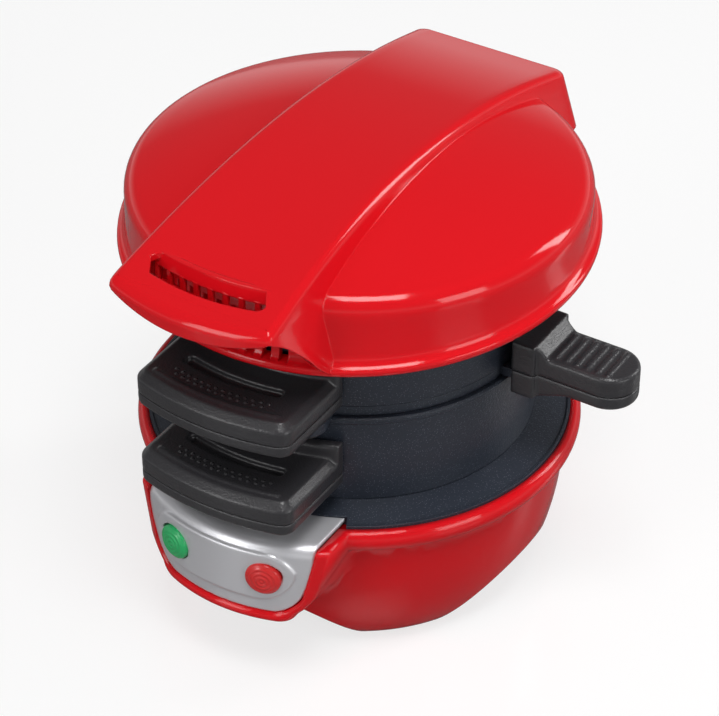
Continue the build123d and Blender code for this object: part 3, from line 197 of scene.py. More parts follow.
# ------------------------------------------------------------------ finishes
@dataclass(frozen=True)
class Finish:
    """A surface finish and the procedural material that shows it; its edge is a radius in millimetres."""

    name: str
    slot: str
    colour: Colour
    roughness: float
    spread: float = 0.06
    grain: float = 900.0
    bump: float = 0.02
    metallic: float = 0.0
    coat: float = 0.0
    specular: float = 0.5
    fleck: float = 0.0
    fleck_colour: Colour = (0.3, 0.33, 0.4)
    transmission: float = 0.0
    edge: float = 0.0

    def material(self) -> bpy.types.Material:
        """Build the material, once.

        Returns:
            The material of this finish.
        """
        if self.name in bpy.data.materials:
            return bpy.data.materials[self.name]
        material = bpy.data.materials.new(self.name)
        material.use_nodes = True
        tree = material.node_tree
        shader, colour = tree.nodes["Principled BSDF"], (*self.colour, 1.0)
        gloss = {"Grain": self.grain, "Roughness": self.roughness, "Spread": self.spread}
        grain = add_node(tree, "ShaderNodeGroup", gloss, node_tree=Groups.grain()).outputs
        relief = {"Strength": self.bump, "Distance": BUMP_DEPTH * MM, "Height": grain["Height"]}
        if self.edge:
            soft = add_node(tree, "ShaderNodeBevel", {"Radius": self.edge * MM}, samples=EDGE_SAMPLES)
            relief["Normal"] = soft.outputs["Normal"]
        bump = add_node(tree, "ShaderNodeBump", relief)
        feed(
            tree,
            shader,
            {
                "Base Color": colour,
                "Metallic": self.metallic,
                "Roughness": grain["Roughness"],
                "Specular IOR Level": self.specular,
                "Coat Weight": self.coat,
                "Coat Roughness": COAT_ROUGHNESS,
                "Transmission Weight": self.transmission,
                "Normal": bump.outputs["Normal"],
            },
        )
        if self.fleck:
            fleck = add_node(tree, "ShaderNodeGroup", {"Amount": self.fleck}, node_tree=Groups.fleck())
            blend = {"Factor": fleck.outputs["Fleck"], "A": colour, "B": (*self.fleck_colour, 1.0)}
            mix = add_node(tree, "ShaderNodeMix", blend, data_type="RGBA")
            feed(tree, shader, {"Base Color": mix.outputs["Result"]})
        return material


RED = Finish(
    "gloss_red_plastic", "red_plastic", (0.64, 0.005, 0.010), 0.09,
    spread=0.03, grain=420.0, bump=0.01, specular=0.3, edge=0.6,
)
HOUSING = replace(RED, name="gloss_red_housing", edge=1.4)
BLACK = Finish(
    "satin_black_plastic", "black_plastic", (0.027, 0.026, 0.029), 0.3,
    spread=0.14, grain=1400.0, bump=0.32, edge=0.5,
)
SILVER = Finish(
    "satin_silver_paint", "silver_plastic", (0.66, 0.66, 0.69), 0.33,
    grain=2600.0, bump=0.06, metallic=0.5, edge=0.5,
)
COATING = Finish(
    "non_stick_coating", "non_stick", (0.026, 0.032, 0.046), 0.36,
    grain=1300.0, bump=0.3, metallic=0.15, fleck=0.5, edge=0.3,
)
GREEN = Finish("green_lens", "green_lens", (0.0, 0.13, 0.15), 0.12, coat=0.1, specular=0.25)
RED_LENS = Finish("red_lens", "red_lens", (0.25, 0.0, 0.002), 0.12, coat=0.1, specular=0.25)
STEEL = Finish("satin_steel", "sheet_steel", (0.55, 0.55, 0.56), 0.32, grain=1200.0, bump=0.05, metallic=1.0)
ZINC = Finish(
    "zinc_plated_steel", "zinc_steel", (0.62, 0.62, 0.6), 0.26,
    grain=900.0, bump=0.04, metallic=1.0,
)
BLACK_STEEL = Finish(
    "black_painted_steel", "black_steel", (0.018, 0.018, 0.02), 0.42,
    grain=1300.0, bump=0.12, edge=0.3,
)
RUBBER = Finish("foot_rubber", "foot_rubber", (0.018, 0.018, 0.018), 0.75, grain=1200.0, bump=0.2)
WHITE = Finish("white_nylon", "white_plastic", (0.7, 0.7, 0.66), 0.45)
BOARD = Finish("circuit_board_green", "circuit_board", (0.03, 0.16, 0.07), 0.4)
LAMP = Finish("clear_lamp", "lamp_glass", (0.9, 0.88, 0.8), 0.1, transmission=0.6)


# ------------------------------------------------------------------ meshes
Faces = list[tuple[int, ...]]


def through(first: Flat, middle: Flat, last: Flat) -> Callable[[float], float]:
    """Make the parabola that passes through three points.

    Args:
        first: First point.
        middle: Second point.
        last: Third point.

    Returns:
        A function that gives the height over a place.
    """

    def height(at: float) -> float:
        """Give the height of the parabola.

        Args:
            at: Place.

        Returns:
            The height.
        """
        total = 0.0
        points = (first, middle, last)
        for this in points:
            term = this[1]
            for other in points:
                if other is not this:
                    term *= (at - other[0]) / (this[0] - other[0])
            total += term
        return total

    return height


def smooth_line(points: tuple[Flat, ...]) -> Callable[[float], float]:
    """Make the smooth curve through points that rise in their first number.

    Args:
        points: The points.

    Returns:
        A function that gives the height over a place, level outside the points.
    """

    def height(at: float) -> float:
        """Give the height of the curve.

        Args:
            at: Place.

        Returns:
            The height.
        """
        at = min(max(at, points[0][0]), points[-1][0])
        index = 0
        while index < len(points) - 2 and at > points[index + 1][0]:
            index += 1
        before, start = points[max(index - 1, 0)], points[index]
        end, after = points[index + 1], points[min(index + 2, len(points) - 1)]
        span = end[0] - start[0]
        slope_in = (end[1] - before[1]) / (end[0] - before[0]) * span
        slope_out = (after[1] - start[1]) / (after[0] - start[0]) * span
        t = (at - start[0]) / span
        return (
            (2 * t**3 - 3 * t**2 + 1) * start[1]
            + (t**3 - 2 * t**2 + t) * slope_in
            + (3 * t**2 - 2 * t**3) * end[1]
            + (t**3 - t**2) * slope_out
        )

    return height


def strips(rows: int, columns: int, closed: bool, start: int = 0) -> Faces:
    """List the four-sided faces between rows of points.

    Args:
        rows: Number of rows.
        columns: Points in a row.
        closed: Whether each row is a loop.
        start: Index of the first point.

    Returns:
        The faces.
    """
    faces = []
    for row in range(rows - 1):
        for column in range(columns if closed else columns - 1):
            beside = (column + 1) % columns
            low, high = start + row * columns, start + (row + 1) * columns
            faces.append((low + column, low + beside, high + beside, high + column))
    return faces


def shade(mesh: bpy.types.Mesh, sharp: float) -> None:
    """Shade a mesh smooth, but for edges steeper than an angle in degrees."""
    mesh.shade_smooth()
    mesh.set_sharp_from_angle(angle=math.radians(sharp))


def make_mesh(name: str, points: list[Point], faces: Faces, sharp: float = 35.0) -> bpy.types.Mesh:
    """Build a clean mesh with outward faces from points in millimetres.

    Args:
        name: Name of the mesh.
        points: Points from the ring axis.
        faces: Indices of each face's points.
        sharp: Edges steeper than this, in degrees, stay sharp.

    Returns:
        The mesh.
    """
    mesh = bpy.data.meshes.new(name)
    mesh.from_pydata([place(p) for p in points], [], faces)
    clean = bmesh.new()
    clean.from_mesh(mesh)
    bmesh.ops.remove_doubles(clean, verts=clean.verts, dist=2 * WELD * MM)
    bmesh.ops.dissolve_degenerate(clean, edges=clean.edges, dist=WELD * MM)
    bmesh.ops.recalc_face_normals(clean, faces=clean.faces)
    clean.to_mesh(mesh)
    clean.free()
    shade(mesh, sharp)
    return mesh


def link(name: str, data: bpy.types.ID) -> bpy.types.Object:
    """Put a mesh, a light or a camera in the scene as an object.

    Args:
        name: Name of the object.
        data: What it holds.

    Returns:
        The object.
    """
    thing = bpy.data.objects.new(name, data)
    bpy.context.collection.objects.link(thing)
    return thing


def settle(thing: bpy.types.Object) -> bpy.types.Object:
    """Turn an object's modifiers into a plain mesh.

    Args:
        thing: Object with live modifiers.

    Returns:
        The same object, with the result as its mesh.
    """
    result = bpy.data.meshes.new_from_object(thing.evaluated_get(bpy.context.evaluated_depsgraph_get()))
    result.name = thing.name
    thing.modifiers.clear()
    thing.data = result
    return thing


def finished(thing: bpy.types.Object, finish: Finish, body: str, *nodes: str) -> bpy.types.Object:
    """Dress a piece, let it ride on its body and report it.

    Args:
        thing: The piece.
        finish: Its finish.
        body: The body that it moves with.
        nodes: Nodes of the frame that it stands for.

    Returns:
        The piece.
    """
    thing.data.materials.clear()
    thing.data.materials.append(finish.material())
    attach(thing, body)
    if nodes:
        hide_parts(*nodes)
    log.info("%s: %s, %d faces", thing.name, finish.name, len(thing.data.polygons))
    return thing


def cut(thing: bpy.types.Object, cutter: bpy.types.Object) -> None:
    """Take a closed cutter away from a closed piece.

    Args:
        thing: The piece.
        cutter: The cutter, which is used up.
    """
    boolean = thing.modifiers.new("cut", "BOOLEAN")
    boolean.operation = "DIFFERENCE"
    boolean.solver = "EXACT"
    boolean.object = cutter
    settle(thing)
    bpy.data.objects.remove(cutter)


def prism(name: str, outline: list[Flat], low: float, high: float) -> bpy.types.Object:
    """Make a closed upright prism.

    Args:
        name: Name of the object.
        outline: Its plan, in millimetres from the ring axis.
        low: Height of its floor.
        high: Height of its top.

    Returns:
        The object.
    """
    count = len(outline)
    points = [(x, y, low) for x, y in outline] + [(x, y, high) for x, y in outline]
    faces = strips(2, count, closed=True)
    faces.append(tuple(range(count)))
    faces.append(tuple(range(count, 2 * count)))
    return link(name, make_mesh(name, points, faces))


def merged(name: str, meshes: list[bpy.types.Mesh], weld: float = 0.0) -> bpy.types.Mesh:
    """Copy meshes into a new one.

    Args:
        name: Name of the result.
        meshes: The meshes.
        weld: Points closer than this, in millimetres, become one.

    Returns:
        The new mesh.
    """
    shape = bmesh.new()
    for mesh in meshes:
        shape.from_mesh(mesh)
    if weld:
        bmesh.ops.remove_doubles(shape, verts=shape.verts, dist=weld * MM)
    result = bpy.data.meshes.new(name)
    shape.to_mesh(result)
    shape.free()
    return result


def join(name: str, things: list[bpy.types.Object], sharp: float = 38.0) -> bpy.types.Object:
    """Put several pieces into one object.

    Args:
        name: Name of the result.
        things: The objects, which are used up.
        sharp: Edges steeper than this, in degrees, stay sharp.

    Returns:
        The joined object.
    """
    mesh = merged(name, [thing.data for thing in things])
    for thing in things:
        bpy.data.objects.remove(thing)
    shade(mesh, sharp)
    return link(name, mesh)


def moulded(name: str, node: str, grain: float, passes: int) -> bpy.types.Object:
    """Make a softly rounded moulding from the solid of a node.

    Args:
        name: Name of the piece.
        node: The node.
        grain: Size of the cells that the shape is rebuilt from, in millimetres.
        passes: How often the edges are eased.

    Returns:
        The moulding.
    """
    return eased(link(name, merged(name, [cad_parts[node].data], WELD)), grain, passes)


def eased(thing: bpy.types.Object, grain: float, passes: int) -> bpy.types.Object:
    """Rebuild a closed piece from fine cells and round its edges.

    Args:
        thing: The piece.
        grain: Size of the cells, in millimetres.
        passes: How often the edges are eased.

    Returns:
        The same piece.
    """
    cells = thing.modifiers.new("cells", "REMESH")
    cells.mode = "VOXEL"
    cells.voxel_size = grain * MM
    cells.adaptivity = 0.0
    ease = thing.modifiers.new("ease", "SMOOTH")
    ease.factor = EASE_FACTOR
    ease.iterations = passes
    thin = thing.modifiers.new("thin", "DECIMATE")
    thin.decimate_type = "COLLAPSE"
    thin.ratio = KEPT_SHARE
    settle(thing)
    thing.data.shade_smooth()
    return thing


# ------------------------------------------------------------------ repeated details
class Repeat(Enum):
    """What a set of repeated details is made of."""

    BLOCK = "block"
    PIP = "pip"

    def _form(self, tree: bpy.types.NodeTree, size: bpy.types.NodeSocket) -> bpy.types.NodeSocket:
        """Add the nodes that make one detail of unit size.

        Args:
            tree: The tree.
            size: Socket of the size.

        Returns:
            The socket with the detail's mesh.
        """
        if self is Repeat.BLOCK:
            return add_node(tree, "GeometryNodeMeshCube", {"Size": size}).outputs["Mesh"]
        ball = {"Segments": PIP_SEGMENTS, "Rings": PIP_RINGS, "Radius": 0.5}
        pip = add_node(tree, "GeometryNodeMeshUVSphere", ball).outputs["Mesh"]
        return add_node(tree, "GeometryNodeTransform", {"Geometry": pip, "Scale": size}).outputs["Geometry"]

    def tree(self) -> bpy.types.NodeTree:
        """Build the node tree that lays this detail on every point of a mesh.

        Returns:
            The tree, made once.
        """
        name = f"lay_{self.value}"
        if name in bpy.data.node_groups:
            return bpy.data.node_groups[name]
        tree = bpy.data.node_groups.new(name, "GeometryNodeTree")
        for label, kind in (("Geometry", "Geometry"), ("Size", "Vector"), ("Finish", "Material")):
            tree.interface.new_socket(label, in_out="INPUT", socket_type=f"NodeSocket{kind}")
        tree.interface.new_socket("Geometry", in_out="OUTPUT", socket_type="NodeSocketGeometry")
        given = add_node(tree, "NodeGroupInput", {}).outputs
        turn = add_node(tree, "GeometryNodeInputNamedAttribute", {"Name": "turn"}, data_type="FLOAT_VECTOR")
        sources = {
            "Points": given["Geometry"],
            "Instance": self._form(tree, given["Size"]),
            "Rotation": turn.outputs["Attribute"],
        }
        laid = add_node(tree, "GeometryNodeInstanceOnPoints", sources).outputs["Instances"]
        real = add_node(tree, "GeometryNodeRealizeInstances", {"Geometry": laid}).outputs["Geometry"]
        paint = add_node(tree, "GeometryNodeSetMaterial", {"Geometry": real, "Material": given["Finish"]})
        add_node(tree, "NodeGroupOutput", {"Geometry": paint.outputs["Geometry"]})
        return tree

    def lay(
        self, name: str, places: list[Point], turns: list[float], size: Point, finish: Finish
    ) -> bpy.types.Object:
        """Lay one detail on each place.

        Args:
            name: Name of the object.
            places: Places, in millimetres from the ring axis.
            turns: Turn of each about the vertical.
            size: Size of one detail, in millimetres.
            finish: Its finish.

        Returns:
            The details as one plain mesh.
        """
        mesh = bpy.data.meshes.new(name)
        mesh.from_pydata([place(p) for p in places], [], [])
        attribute = mesh.attributes.new("turn", "FLOAT_VECTOR", "POINT")
        for index, turn in enumerate(turns):
            attribute.data[index].vector = (0.0, 0.0, turn)
        thing = link(name, mesh)
        tree = self.tree()
        keys = {item.name: item.identifier for item in tree.interface.items_tree if item.in_out == "INPUT"}
        details = thing.modifiers.new("details", "NODES")
        details.node_group = tree
        details[keys["Size"]] = tuple(s * MM for s in size)
        details[keys["Finish"]] = finish.material()
        settle(thing)
        shade(thing.data, DETAIL_CREASE)
        return thing


# ------------------------------------------------------------------ cover
@dataclass
class Cover:
    """The hinged cover: a round lid with a bridge over it that runs out into the visor and the tail."""

    tilt: float = 3.3
    rim_z: float = 126.1
    rim_r: float = 77.6
    bead: float = 3.0
    bead_round: float = 0.9
    bead_steps: int = 6
    flare: float = 7.0
    flare_sag: float = 0.75
    flare_lift: float = 1.3
    flare_ease: float = 0.1
    wall_r: float = 74.6
    top_z: float = 160.4
    dome_r: float = 213.0
    dome_steps: int = 14
    shoulder: float = 7.0
    shoulder_steps: int = 8
    wall: float = 2.2
    wall_steps: int = 112
    slot_count: int = 8
    slot_pitch: float = 5.3
    slot_width: float = 2.8
    slot_top_z: float = 140.0
    draft: float = 10.5
    width_z: float = 164.2
    edge_round: float = 3.0
    round_steps: int = 6
    wall_rows: int = 4
    crown_steps: int = 10
    crease: float = 50.0
    nose_r: float = 99.4
    nose_half: float = 29.2
    nose_y: float = -95.0
    nose_spread: float = 25.0
    nose_blend: float = 0.62
    nose_steps: int = 44
    visor_middle_y: float = -78.0
    ray_reach: float = 60.0
    halvings: int = 32
    side_steps: tuple[int, ...] = (14, 1, 44, 1, 6)
    seam: float = 0.05
    least_wall: float = 0.35
    lip_z: float = 142.9
    lip_rise: float = 4.9
    lip_margin: float = 0.4
    tail_y: float = 82.8
    tail_round: float = 5.0
    tail_steps: int = 6
    rear_steps: int = 4
    tail_z: float = 127.0
    tail_front_y: float = 71.0
    tail_edge: float = 0.01
    inner_z: float = 140.0
    crown: tuple[Flat, Flat, Flat] = ((-99.4, 149.5), (-7.0, 163.2), (94.0, 145.3))
    half_width: tuple[Flat, Flat, Flat] = ((-104.4, 26.5), (15.0, 25.3), (82.8, 25.4))
    visor_edge: tuple[Flat, ...] = (
        (-95.4, 148.2), (-88.4, 143.6), (-80.7, 135.8), (-74.8, 128.2), (-69.6, 123.3), (-62.0, 121.6)
    )
    vent_r: Flat = (82.3, 90.3)
    vent_half: float = 21.5
    vent_corner: float = 3.4
    vent_steps: int = 12
    corner_steps: int = 6
    vent_cut_rise: float = 9.0
    vent_floor_z: float = 144.8
    vent_sill_z: float = 150.2
    window_r: float = 83.5
    window_width: float = 3.6
    insert_margin: float = 0.6
    insert_floor: float = 1.2
    sill_gap: float = 0.1
    sill_rise: float = 4.6
    sill_depth: float = 1.6
    sill_margin: float = 0.4
    sill_steps: int = 32
    bar_depth: float = 1.4
    bar_lift: float = 2.8
    bar_overlap: float = 0.6

    def rim_point(self, turn: float, radius: float, height: float) -> Point:
        """Place a point over the tilted rim.

        Args:
            turn: Turn from the front.
            radius: Distance from the lid's axis.
            height: Height over the rim.

        Returns:
            The point.
        """
        lean = math.radians(self.tilt)
        across = -radius * math.cos(turn)
        return (
            radius * math.sin(turn),
            across * math.cos(lean) - height * math.sin(lean),
            self.rim_z + across * math.sin(lean) + height * math.cos(lean),
        )

    def lid_rows(self, inset: float) -> list[Flat]:
        """Profile of the dome and shoulder, from the top outwards, shrunk by an inset.

        Args:
            inset: Distance inside the outer face.

        Returns:
            Radius and height of each row, down to the top of the wall slots.
        """
        centre_z = self.top_z - self.dome_r
        turn_r = self.wall_r - self.shoulder
        lean = math.asin(turn_r / (self.dome_r - self.shoulder))
        turn_z = centre_z + (self.dome_r - self.shoulder) * math.cos(lean)
        rows = []
        for step in range(self.dome_steps + 1):
            angle = lean * step / self.dome_steps
            radius = self.dome_r - inset
            rows.append((radius * math.sin(angle), centre_z + radius * math.cos(angle)))
        for step in range(1, self.shoulder_steps + 1):
            angle = lean + (math.pi / 2 - lean) * step / self.shoulder_steps
            radius = self.shoulder - inset
            rows.append((turn_r + radius * math.sin(angle), turn_z + radius * math.cos(angle)))
        rows.append((self.wall_r - inset, self.slot_top_z))
        return rows

    def lid(self) -> bpy.types.Object:
        """Build the round lid, with its bead and the slots in the wall under the visor.

        Returns:
            The lid.
        """
        marks = []
        for index in range(self.slot_count):
            middle = (index - (self.slot_count - 1) / 2) * self.slot_pitch
            marks.append(math.asin((middle - self.slot_width / 2) / self.wall_r))
            marks.append(math.asin((middle + self.slot_width / 2) / self.wall_r))
        span = 2 * math.pi - (marks[-1] - marks[0])
        turns = marks + [marks[-1] + span * step / self.wall_steps for step in range(1, self.wall_steps)]
        outer, inner = self.lid_rows(0.0), self.lid_rows(self.wall)
        flare_middle = (self.wall_r + 2 * (self.rim_r - self.bead_round)) / 3 - self.flare_sag
        flare_foot = self.bead + self.flare_lift
        rim = [
            (self.wall_r, self.flare),
            ((self.wall_r + flare_middle) / 2 - self.flare_ease, (self.flare + flare_foot) / 2),
            (flare_middle, flare_foot),
            (self.rim_r - self.bead_round, self.bead),
        ]
        flare_rows = len(rim)
        for step in range(1, self.bead_steps + 1):
            angle = math.pi * step / self.bead_steps
            radius = self.rim_r - self.bead_round + self.bead_round * math.sin(angle)
            rim.append((radius, self.bead / 2 * (1 + math.cos(angle))))
        rim += [(self.wall_r - self.wall, 0.0), (self.wall_r - self.wall, self.bead)]
        points = []
        for radius, z in outer:
            points += [around(radius, turn, z) for turn in turns]
        for radius, height in rim:
            points += [self.rim_point(turn, radius, height) for turn in turns]
        for radius, z in reversed(inner):
            points += [around(radius, turn, z) for turn in turns]
        count, rows = len(turns), len(outer) + len(rim) + len(inner)
        # the slots are open between the first two of these rows outside, and the last two inside
        rim_end = len(outer) + len(rim)
        slot_rows = (len(outer) - 1, len(outer) + flare_rows - 1, rim_end - 1, rim_end)
        slots = range(0, 2 * self.slot_count, 2)
        open_rows = [*range(*slot_rows[:2]), *range(*slot_rows[2:])]
        gone = {row * count + column for row in open_rows for column in slots}
        faces = [face for index, face in enumerate(strips(rows, count, closed=True)) if index not in gone]
        for column in slots:
            for side in (column, column + 1):
                down = [row * count + side for row in range(slot_rows[0], slot_rows[1] + 1)]
                faces.append(tuple(down + [slot_rows[2] * count + side, slot_rows[3] * count + side]))
            for near, far in ((slot_rows[0], slot_rows[3]), (slot_rows[1], slot_rows[2])):
                low, high = near * count + column, far * count + column
                faces.append((low, low + 1, high + 1, high))
        return link("cover_lid", make_mesh("cover_lid", points, faces))

    def spread(self, z: float) -> float:
        """Give how far the sloped walls stand out past the half width at a height."""
        return (self.width_z - z) * math.tan(math.radians(self.draft))

    def nose_place(self, turn: float, z: float, inset: float) -> Flat:
        """Find where a ray from the middle of the visor meets its outline.

        Args:
            turn: Turn of the ray from the front.
            z: Height of the outline.
            inset: Distance inside the outer face.

        Returns:
            The place.
        """
        slope = math.tan(math.radians(self.nose_spread))
        spread = self.spread(z) - inset
        width = through(*self.half_width)
        near, far = 0.0, self.ray_reach
        for _ in range(self.halvings):
            middle = (near + far) / 2
            x = middle * math.sin(turn)
            y = self.visor_middle_y - middle * math.cos(turn)
            excess = (
                x - width(y) - spread,
                x - self.nose_half + inset - (y - self.nose_y) * slope,
                math.hypot(x, y) - self.nose_r + inset,
            )
            blend = self.nose_blend * math.log(sum(math.exp(e / self.nose_blend) for e in excess))
            near, far = (near, middle) if blend > 0 else (middle, far)
        return x, y

    def nose_turn(self, step: int, z: float, inset: float) -> Flat:
        """Find the place of one step round the nose, from its middle to its side."""
        return self.nose_place(math.pi / 2 * step / self.nose_steps, z, inset)

    def bridge_half(self, z: float, inset: float) -> list[Flat]:
        """Right half of the bridge's plan at a height, from the nose to the tail.

        Args:
            z: Height.
            inset: Distance inside the outer face.

        Returns:
            Places from the middle of the nose round to the middle of the tail.
        """
        spread = self.spread(z)
        width = through(*self.half_width)
        places = [self.nose_turn(step, z, inset) for step in range(self.nose_steps + 1)]
        rear_y = self.tail_y + spread - inset
        corner = self.tail_round - inset
        stops = (
            self.visor_middle_y,
            self.visor_edge[-1][0],
            self.visor_edge[-1][0] + self.seam,
            self.tail_front_y - self.seam,
            self.tail_front_y,
            rear_y - corner,
        )
        for index, steps in enumerate(self.side_steps):
            for step in range(1, steps + 1):
                y = stops[index] + (stops[index + 1] - stops[index]) * step / steps
                places.append((width(y) + spread - inset, y))
        edge_x = width(self.tail_y) + spread - inset
        for step in range(1, self.tail_steps + 1):
            angle = math.pi / 2 * step / self.tail_steps
            places.append((edge_x - corner * (1 - math.cos(angle)), rear_y - corner * (1 - math.sin(angle))))
        for step in range(1, self.rear_steps + 1):
            places.append(((edge_x - corner) * (1 - step / self.rear_steps), rear_y))
        return places

    def low_edge(self, x: float, y: float) -> float:
        """Give the height of the bridge's lower edge.

        Args:
            x: Place of its plan, from the middle.
            y: Place of its plan, from the front to the rear.

        Returns:
            The height.
        """
        rim = self.rim_z + y * math.tan(math.radians(self.tilt))
        if math.hypot(x, y) > self.nose_r - self.lip_margin and y < 0:
            return self.lip_z + self.lip_rise * (x / self.nose_half) ** 2
        if y <= self.visor_edge[-1][0]:
            return max(smooth_line(self.visor_edge)(y), rim)
        return self.inner_z if y < self.tail_front_y - self.tail_edge else self.tail_z

    def skin(self, inset: float) -> list[list[Point]]:
        """Rows of the right half of the bridge, from the lower edge up to the middle of the crown.

        Args:
            inset: Distance inside the outer face.

        Returns:
            The rows.
        """
        crown = through(*self.crown)
        lean = math.radians(self.draft)
        edge_round = self.edge_round - inset
        edge = self.bridge_half(self.crown[0][1], 0.0)
        nominal = self.bridge_half(self.crown[0][1], inset)
        count = len(nominal)
        lows = [self.low_edge(x, y) for x, y in edge]
        highs = [crown(y) - inset - edge_round * (1 - math.sin(lean)) for _, y in nominal]
        rows: list[list[Point]] = []
        for part in range(self.wall_rows + 1):
            row = []
            for index in range(count):
                low = min(lows[index], highs[index] - self.least_wall)
                z = low + (highs[index] - low) * part / self.wall_rows
                if index <= self.nose_steps:
                    x, y = self.nose_turn(index, z, inset)
                else:
                    x, y = self.bridge_half(z, inset)[index]
                row.append((x, y, z))
            rows.append(row)
        top = rows[-1]
        normals = []
        for index in range(count):
            before, after = top[max(index - 1, 0)], top[min(index + 1, count - 1)]
            along = Vector((after[0] - before[0], after[1] - before[1]))
            normals.append(Vector((along.y, -along.x)).normalized())
        normals[0], normals[-1] = Vector((0.0, -1.0)), Vector((0.0, 1.0))
        for step in range(1, self.round_steps + 1):
            angle = lean + (math.pi / 2 - lean) * step / self.round_steps
            inward = edge_round * (math.cos(lean) - math.cos(angle))
            row = []
            for (x, y, z), out in zip(top, normals):
                here = Vector((x, y)) - out * inward
                rise = edge_round * (math.sin(angle) - math.sin(lean))
                slope = crown(here.y) - crown(y)
                row.append((max(here.x, 0.0), here.y, z + rise + slope * step / self.round_steps))
            rows.append(row)
        brow = rows[-1]
        for step in range(1, self.crown_steps + 1):
            share = 1 - step / self.crown_steps
            rows.append([(x * share, y, z) for x, y, z in brow])
        return rows

    def bridge(self) -> bpy.types.Object:
        """Build the bridge's walls inside and out, and cut the vent.

        Returns:
            The bridge.
        """
        outer, inner = self.skin(0.0), self.skin(self.wall)
        rows = list(reversed(outer)) + inner
        count = len(rows[0])
        points: list[Point] = []
        faces: Faces = []
        for side in (1, -1):
            start = len(points)
            for row in rows:
                points += [(side * x, y, z) for x, y, z in row]
            faces += strips(len(rows), count, closed=False, start=start)
        bridge = link("cover_bridge", make_mesh("cover_bridge", points, faces, self.crease))
        opening = self.vent_outline(0.0)
        cut(bridge, prism("vent_cutter", opening, self.vent_floor_z, self.top_z + self.vent_cut_rise))
        return bridge

    def vent_outline(self, grow: float) -> list[Flat]:
        """Plan of the vent: a curved slot with round corners, grown by a margin.

        Args:
            grow: Margin.

        Returns:
            Places round the slot.
        """
        near, far = self.vent_r[0] - grow, self.vent_r[1] + grow
        half, corner = self.vent_half + grow, self.vent_corner
        places: list[Flat] = []
        for radius, way in ((far, 1), (near, -1)):
            level = corner if way > 0 else -corner
            for step in range(self.vent_steps + 1):
                x = way * (half - corner) * (2 * step / self.vent_steps - 1)
                places.append((x, -math.sqrt(radius**2 - x * x)))
            edge = way * half
            top = -math.sqrt(radius**2 - (half - corner) ** 2)
            for step in range(1, self.corner_steps):
                angle = math.pi / 2 * step / self.corner_steps
                across = edge - way * corner * (1 - math.sin(angle))
                places.append((across, top + level * (1 - math.cos(angle))))
        return places

    def grille(self) -> bpy.types.Object:
        """Build the red insert of the vent: its floor, sill and the bars between its windows.

        Returns:
            The insert.
        """
        outline = self.vent_outline(self.insert_margin)
        count = len(outline)
        floor = [(x, y, self.vent_floor_z - self.insert_floor) for x, y in outline]
        floor += [(x, y, self.vent_floor_z) for x, y in outline]
        faces = strips(2, count, closed=True) + [tuple(range(count)), tuple(range(count, 2 * count))]
        start = len(floor)
        section = (
            (self.window_r, self.vent_sill_z),
            (self.vent_r[0] + self.sill_gap, self.vent_sill_z + self.sill_rise),
            (self.vent_r[0] - self.sill_depth, self.vent_sill_z + self.sill_rise),
            (self.window_r - self.bar_depth, self.vent_sill_z),
        )
        corners, steps = len(section), self.sill_steps
        reach = math.asin((self.vent_half + self.sill_margin) / self.window_r)
        sill: list[Point] = []
        for step in range(steps + 1):
            turn = reach * (2 * step / steps - 1)
            sill += [around(radius, turn, z) for radius, z in section]
        faces += strips(steps + 1, corners, closed=True, start=start)
        faces.append(tuple(range(start, start + corners)))
        faces.append(tuple(range(start + steps * corners, start + (steps + 1) * corners)))
        insert = link("vent_grille_insert", make_mesh("vent_grille_insert", floor + sill, faces))
        places, turns = [], []
        for index in range(self.slot_count + 1):
            x = (index - self.slot_count / 2) * self.slot_pitch
            turn = math.asin(x / self.window_r)
            places.append(around(self.window_r - self.bar_depth / 2, turn, self.vent_floor_z + self.bar_lift))
            turns.append(turn)
        height = self.vent_sill_z - self.vent_floor_z + self.bar_overlap
        size = (self.slot_pitch - self.window_width, self.bar_depth, height)
        bars = Repeat.BLOCK.lay("vent_bars", places, turns, size, RED)
        return join("vent_grille_insert", [insert, bars])

    def build(self) -> None:
        """Build and dress the cover's visible skin."""
        shell = join("cover_shell_skin", [self.lid(), self.bridge()])
        finished(shell, RED, "cover", "cover_shell")
        finished(self.grille(), RED, "cover", "vent_grille")


# ------------------------------------------------------------------ handles of the rings
@dataclass
class RingHandle:
    """The handle of one cooking ring: two clamped shells with grip pips."""

    name: str
    body: str
    top_z: float
    pip_r: float = 80.4
    pip_half: float = 17.0
    pip_pitch: float = 2.6
    pip_row: float = 1.9
    pip_sink: float = 0.05
    pip_size: Point = (1.1, 1.1, 0.8)
    grain: float = 0.42
    upper_passes: int = 6
    lower_passes: int = 9

    def pips(self) -> bpy.types.Object:
        """Lay the fine grip pips in front of the slot.

        Returns:
            The pips.
        """
        places = []
        for row, half in ((0, self.pip_half), (1, self.pip_half - self.pip_pitch / 2)):
            count = int(2 * half / self.pip_pitch) + 1
            for index in range(count):
                x = (index - (count - 1) / 2) * self.pip_pitch
                radius = self.pip_r + row * self.pip_row
                places.append((x, -math.sqrt(radius**2 - x * x), self.top_z - self.pip_sink))
        return Repeat.PIP.lay(f"{self.name}_pips", places, [0.0] * len(places), self.pip_size, BLACK)

    def build(self) -> None:
        """Build and dress the handle."""
        upper = moulded(f"{self.name}_upper_shell", f"{self.name}_top", self.grain, self.upper_passes)
        upper = join(upper.name, [upper, self.pips()])
        finished(upper, BLACK, self.body, f"{self.name}_top")
        lower = moulded(f"{self.name}_lower_shell", f"{self.name}_base", self.grain, self.lower_passes)
        finished(lower, BLACK, self.body, f"{self.name}_base")


